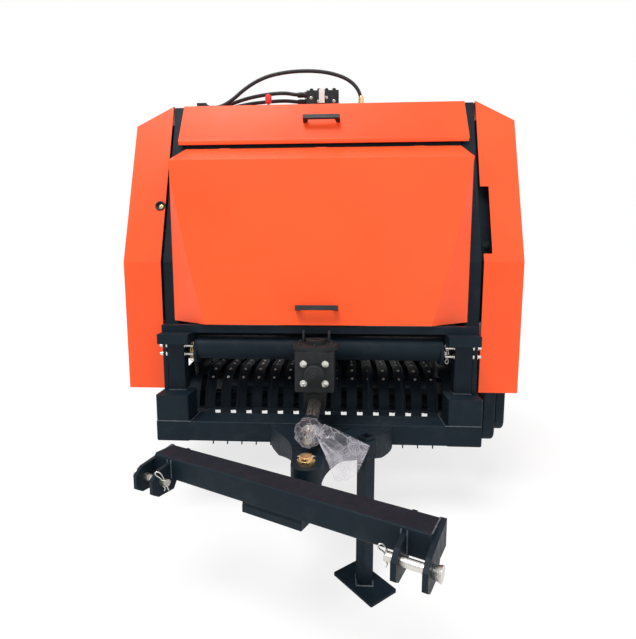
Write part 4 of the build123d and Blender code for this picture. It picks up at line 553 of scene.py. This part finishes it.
LEG_X, LEG_D, LEG_HALF, LEG_WELD_HIGH = 228, -477, 34, 14
LEG_CORNERS = [(LEG_X + a * LEG_HALF, LEG_D + b * LEG_HALF, LEG_WELD_HIGH)
               for a, b in ((-1, -1), (1, -1), (1, 1), (-1, 1))]
beads = bmesh.new()
for one, two in zip(LEG_CORNERS, LEG_CORNERS[1:] + LEG_CORNERS[:1]):
    weld(beads, one, two, 8, 8)
piece("leg_welds", beads, "drop_leg", WELD_HIGHLIGHT)

# Pivot bolt: castle crown and split pin
CROWN_HIGH, CROWN_RADIUS = 609, 21
crown = bmesh.new()
for n in range(6):
    turn = radians(60 * n)
    for offset in (-0.28, 0.28):
        base = spot(CROWN_RADIUS * cos(turn + offset), PIVOT_D + CROWN_RADIUS * sin(turn + offset),
                    CROWN_HIGH)
        turned(crown, ((0, 4.6), (4, 4.4), (5, 3.6)), base, UP, 8)
piece("castle_crown", crown, "chassis", GOLD)
PIN_LINE = ((-32, PIVOT_D + 2, 609), (-26, PIVOT_D - 3, 611), (0, PIVOT_D, 611), (24, PIVOT_D + 1, 611),
            (31, PIVOT_D + 7, 609), (33, PIVOT_D + 14, 602))
wire("split_pin", PIN_LINE, 4, "chassis", STEEL)

# Grooves between the splines of the input shaft's end, flush but for 0.3 mm
GROOVE = ((-3.2, -2), (3.2, -2), (2.6, 0.3), (-2.6, 0.3))
GROOVE_FRONT, GROOVE_BACK = -565, -490
grooves = bmesh.new()
for n in range(6):
    turn = radians(60 * n + 15)
    out = (cos(turn), sin(turn))
    flat = (-out[1], out[0])
    middle = (SHAFT_RADIUS * out[0], SHAFT_HIGH + SHAFT_RADIUS * out[1])
    outline = [(middle[0] + flat[0] * a + out[0] * b, middle[1] + flat[1] * a + out[1] * b)
               for a, b in GROOVE]
    slab(grooves, outline, GROOVE_FRONT, GROOVE_BACK)
piece("shaft_grooves", grooves, "input_shaft", CAST)


# Film bag over the shaft's ring: a tied wrap round the ring and a flat pouch hanging to the right
def crumple(point, amount, scale=28.0):
    """A soft random push, in millimetres, that gives film its dents."""
    return noise.noise_vector(point * scale) * amount / 1000


WRAP = ((-463, 53), (-470, 57), (-486, 58), (-504, 53), (-522, 46), (-540, 38), (-554, 32), (-566, 30),
        (-573, 25), (-577, 10))
WRAP_SIDES = 56
WRAP_SAG = 3
TIED_RADIUS = 26


def add_wrap(mesh):
    """Adds the pleated wrap, which sags a little in the middle and dents less where it is tied."""
    loops = []
    for step, (d, radius) in enumerate(WRAP):
        sag = WRAP_SAG * sin(step / len(WRAP) * pi)
        loop = []
        for n in range(WRAP_SIDES):
            turn = 2 * pi * n / WRAP_SIDES
            pleat = 1 + 0.045 * sin(7 * turn + 0.7 * step) + 0.03 * sin(13 * turn)
            place = spot(radius * pleat * cos(turn), d, SHAFT_HIGH - sag + radius * pleat * sin(turn))
            push = crumple(place, 2.6 if radius > TIED_RADIUS else 1.2, 20.0)
            loop.append(mesh.verts.new(place + Vector((push.x, push.y * 0.5, push.z))))
        loops.append(loop)
    skin(mesh, loops)
    mesh.faces.new(loops[-1])


POUCH = ((12, 706), (60, 712), (112, 690), (172, 660), (238, 628), (218, 576), (196, 524), (172, 500),
         (150, 484), (124, 481), (106, 484), (98, 520), (92, 560), (80, 592), (62, 606), (50, 622))
NECK_X, NECK_HIGH = 38, 660
POUCH_D, POUCH_HALF = -551, 5
POUCH_FINE, POUCH_ROWS = 5, 26


def pouch_edge():
    """Points along the pouch's outline, several to each of its stretches."""
    edge = []
    for one, two in zip(POUCH, POUCH[1:] + POUCH[:1]):
        for m in range(POUCH_FINE):
            share = (two[0] - one[0]) * m / POUCH_FINE, (two[1] - one[1]) * m / POUCH_FINE
            edge.append((one[0] + share[0], one[1] + share[1]))
    return edge


def add_pouch(mesh):
    """Adds the two faces of the pouch, with folds that run out from the neck and a closed edge."""
    edge = pouch_edge()
    for face in (-1, 1):
        loops = []
        for step in range(POUCH_ROWS + 1):
            out = 0.06 + 0.94 * step / POUCH_ROWS
            loop = []
            for x, z in edge:
                way = atan2(z - NECK_HIGH, x - NECK_X)
                ripple = 2.0 * noise.noise(Vector((x, 0, z)) / 60)
                fold = 2.4 * sin(way * 17 + ripple) * (1 - out) + 1.6 * sin(way * 7)
                depth = POUCH_D + face * POUCH_HALF * (1 - out ** 4) * 0.8 + fold * (1 - out ** 6)
                place = spot(NECK_X + (x - NECK_X) * out, depth, NECK_HIGH + (z - NECK_HIGH) * out)
                loop.append(mesh.verts.new(place + crumple(place, 3.2, 46) * (1 - out ** 8)))
            loops.append(loop)
        skin(mesh, loops)


film_mesh = bmesh.new()
add_wrap(film_mesh)
add_pouch(film_mesh)
bag = piece("film_bag_soft", film_mesh, "chassis", FILM, 70)
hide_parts("film_bag")

# Folded hem along the lid's lower edge, short enough to clear the opening hood
HEM = ((501, 2034), (496, 2033), (493, 2028), (494, 2006), (498, 2005), (498, 2025))
HEM_HALF = 838
hem = bmesh.new()
slab(hem, HEM, -HEM_HALF, HEM_HALF, "dz")
piece("lid_hem", hem, "lid", ORANGE)

# The covers' leaning fronts
LEAN = radians(18)
FOLD_HIGH = 1325
COVER_D = 280
OUTWARD = (0, -cos(LEAN), sin(LEAN))


def lean_d(z):
    """Depth of the covers' leaning front at a height."""
    return COVER_D + (z - FOLD_HIGH) * tan(LEAN)


# Grommet in the left cover's front, with its cap
GROMMET_X, GROMMET_HIGH = -918, 1645
eye = spot(GROMMET_X, lean_d(GROMMET_HIGH), GROMMET_HIGH)
grommet = bmesh.new()
ring(grommet, eye, OUTWARD, 25, 10, 48, 12)
ring(grommet, eye - Vector(OUTWARD) * 0.005, OUTWARD, 19, 5, 40, 10)
piece("cover_grommet", grommet, "side_cover_left", BLACK)
disc = bmesh.new()
CAP = ((0, 17), (2, 17), (4, 14), (5, 7), (9, 5))
turned(disc, CAP, eye - Vector(OUTWARD) * 0.012, OUTWARD, 32)
piece("grommet_cap", disc, "side_cover_left", GOLD)

# Invented dark sheets, which no solid carries: painted shade, standing in for the shaded inside of the
# machine and the parts in it. They close the sight lines beside the uprights, under the hood and behind the
# covers, where the bright background would show.
WALL_IN, WALL_OUT = 881, 950
WALL_LOW, WALL_TOP = 1330, 2150
LEAN_WALL = ((lean_d(WALL_LOW) + 62, WALL_LOW), (lean_d(WALL_LOW) + 66, WALL_LOW),
             (lean_d(WALL_TOP) + 66, WALL_TOP), (lean_d(WALL_TOP) + 62, WALL_TOP))
UPRIGHT_WALL = ((348, 1010), (352, 1010), (352, WALL_LOW), (348, WALL_LOW))
HOOD_WALL = ((300, 884), (304, 884), (304, 1004), (330, 1008), (330, 1012), (300, 1008))
TROUGH_WALL = ((1092, 399), (1098, 399), (1098, 346), (1110, 342), (1110, 338), (1094, 340))
walls = bmesh.new()
for side in (-1, 1):
    slab(walls, LEAN_WALL, side * WALL_IN, side * WALL_OUT, "dz")
    slab(walls, UPRIGHT_WALL, side * WALL_IN, side * WALL_OUT, "dz")
    back_wall = ((side * 884, 612), (side * 1072, 612), (side * 1072, 996), (side * 884, 996))
    slab(walls, back_wall, 1040, 1044)
slab(walls, HOOD_WALL, -698, 698, "dz")
slab(walls, TROUGH_WALL, -760, 760, "dz")
piece("painted_shade_walls", walls, "chassis", DARK)

# Cross strut and two bolts inside the right cover's window
strut = bmesh.new()
slab(strut, ((338, 1408), (344, 1408), (344, 1436), (338, 1436)), 890, 934, "dz")
for z in (1400, 1700):
    bolt(strut, spot(926, lean_d(z) + 60, z), OUTWARD, 14, 7)
piece("window_strut", strut, "chassis", DARK)

# Tyres with a block tread, and the wheels' nuts and caps
WHEEL_X, AXLE_D, WHEEL_HIGH = 955, 1750, 380
TYRE_HALF = ((-98, 206), (-112, 226), (-122, 262), (-124, 296), (-120, 330), (-113, 352), (-104, 366),
             (-98, 374))
TREAD_X = (-92, -84, -70, -56, -44, -40, -32, -28, -14, 0, 14, 28, 32, 40, 44, 56, 70, 84, 92)
BLOCKS, STEPS_PER_BLOCK = 36, 5
TURNS = BLOCKS * STEPS_PER_BLOCK
TREAD_CROWN, CROWN_DROP = 380, 4.0
NUT_CIRCLE, NUT_COUNT = 95, 5
HUB_CAP = ((0, 42), (14, 40), (20, 32), (22, 16))


def tread_radius(across, step):
    """Radius of the running surface: three ribs, the outer two cut into slanted blocks."""
    crown = TREAD_CROWN - CROWN_DROP * (across / 100) ** 2
    lane = abs(across)
    if 30 < lane < 42:
        return crown - 11
    share = (step / STEPS_PER_BLOCK + lane / 90) % 1
    if lane > 42 and share < 0.21:
        return crown - 9
    if lane < 30 and (step / STEPS_PER_BLOCK + 0.5) % 2 < 0.2:
        return crown - 5
    return crown


def add_tyre(mesh, middle_x):
    """Adds a tyre from bead to bead, with low ribs on its shoulders."""
    loops = []
    for n in range(TURNS):
        turn = 2 * pi * n / TURNS
        section = list(TYRE_HALF)
        section += [(x, tread_radius(x, n)) for x in TREAD_X]
        section += [(-x, r) for x, r in TYRE_HALF[::-1]]
        loop = []
        for x, radius in section:
            rib = 1.5 if 300 < radius < 350 and n % STEPS_PER_BLOCK < 2 else 0
            loop.append(mesh.verts.new(spot(middle_x + x, AXLE_D + (radius + rib) * sin(turn),
                                            WHEEL_HIGH + (radius + rib) * cos(turn))))
        loops.append(loop)
    skin(mesh, loops, round_loops=False, joined=True)


for word, side in SIDES:
    mesh = bmesh.new()
    add_tyre(mesh, side * WHEEL_X)
    tyre = piece(f"tyre_{word}_tread", mesh, f"wheel_{word}", TYRE, 28)
    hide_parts(f"tyre_{word}")
    nuts = bmesh.new()
    for n in range(NUT_COUNT):
        turn = radians(360 / NUT_COUNT * n)
        place = spot(side * (WHEEL_X + 6), AXLE_D + NUT_CIRCLE * sin(turn),
                     WHEEL_HIGH + NUT_CIRCLE * cos(turn))
        bolt(nuts, place, (side, 0, 0), 22, 13)
    turned(nuts, HUB_CAP, spot(side * (WHEEL_X + 75), AXLE_D, WHEEL_HIGH), (side, 0, 0), 32)
    piece(f"wheel_nuts_{word}", nuts, f"wheel_{word}", STEEL)

# The crossbar is turned about the pivot, u along it and v across it
BAR_TURN = radians(26)


def on_bar(u, v, z):
    """Place on the crossbar from u along it, v across it and a height, in millimetres."""
    return (u * cos(BAR_TURN) + v * sin(BAR_TURN), PIVOT_D + v * cos(BAR_TURN) - u * sin(BAR_TURN), z)


# Clips on the crossbar's pins
PIN_U, PIN_V, PIN_HIGH = 428, -282, 528
for word, side in SIDES:
    spring_clip(f"hitch_clip_{word}", "crossbar", *on_bar(side * PIN_U, PIN_V, PIN_HIGH), (-0.25, -0.2, 1.0),
                (-1.0, -0.3, 0.1), 1.15)

# Weld beads on the crossbar
beads = bmesh.new()
for side in (-1, 1):
    for u in (446, 464):
        weld(beads, on_bar(side * u, -237, 520), on_bar(side * u, -237, 590), 6)
    weld(beads, on_bar(side * 531, -140, 599), on_bar(side * 531, -232, 599), 6)
weld(beads, on_bar(-180, -135, 513), on_bar(180, -135, 513), 7)
piece("bar_welds", beads, "crossbar", WELD_HIGHLIGHT)

# Floor, which glows a little to the camera alone
FLOOR_HALF = 40
FLOOR_GLOW = 0.75
PALE = (0.9, 0.9, 0.9)
floor_corners = [(a * FLOOR_HALF, b * FLOOR_HALF, 0) for a, b in ((-1, -1), (1, -1), (1, 1), (-1, 1))]
floor_mesh = bpy.data.meshes.new("floor")
floor_mesh.from_pydata(floor_corners, [], [(0, 1, 2, 3)])
floor_thing = show(bpy.data.objects.new("floor", floor_mesh))
ground, tree, bsdf = shader("floor")
bsdf.inputs["Base Color"].default_value = (*PALE, 1)
bsdf.inputs["Roughness"].default_value = 0.9
glow = tree.nodes.new("ShaderNodeEmission")
rays = tree.nodes.new("ShaderNodeLightPath")
mix = tree.nodes.new("ShaderNodeMixShader")
seen = remap(tree, rays.outputs["Is Camera Ray"], 0, 1, 0, FLOOR_GLOW)
tree.links.new(seen, mix.inputs["Fac"])
tree.links.new(bsdf.outputs["BSDF"], mix.inputs[1])
tree.links.new(glow.outputs["Emission"], mix.inputs[2])
tree.links.new(mix.outputs["Shader"], tree.nodes["Material Output"].inputs["Surface"])
floor_mesh.materials.append(ground)
floor_thing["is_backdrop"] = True

# Sky: dim as a light, bright where the camera, a reflection or the film looks at it
SKY_LIGHT, SKY_SEEN = 0.48, 1
world = bpy.data.worlds.new("sky")
bpy.context.scene.world = world
world.use_nodes = True
tree = world.node_tree
sky = tree.nodes["Background"]
sky.inputs["Color"].default_value = (1, 1, 1, 1)
rays = tree.nodes.new("ShaderNodeLightPath")
seen = rays.outputs["Is Camera Ray"]
for key in ("Is Glossy Ray", "Is Transmission Ray"):
    seen = larger(tree, seen, rays.outputs[key])
tree.links.new(remap(tree, seen, 0, 1, SKY_LIGHT, SKY_SEEN), sky.inputs["Strength"])

# Lamps: name, strength, turn and width of the sun's disc, both in degrees
SUNS = (("key", 2.6, (24, -6, -18), 30), ("fill", 0.6, (62, 0, 40), 60))
for name, strength, turn, size in SUNS:
    lamp = bpy.data.lights.new(name, "SUN")
    lamp.energy = strength
    lamp.angle = radians(size)
    thing = show(bpy.data.objects.new(name, lamp))
    thing.rotation_euler = [radians(a) for a in turn]

bpy.context.scene.view_settings.view_transform = "Standard"
low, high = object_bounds()
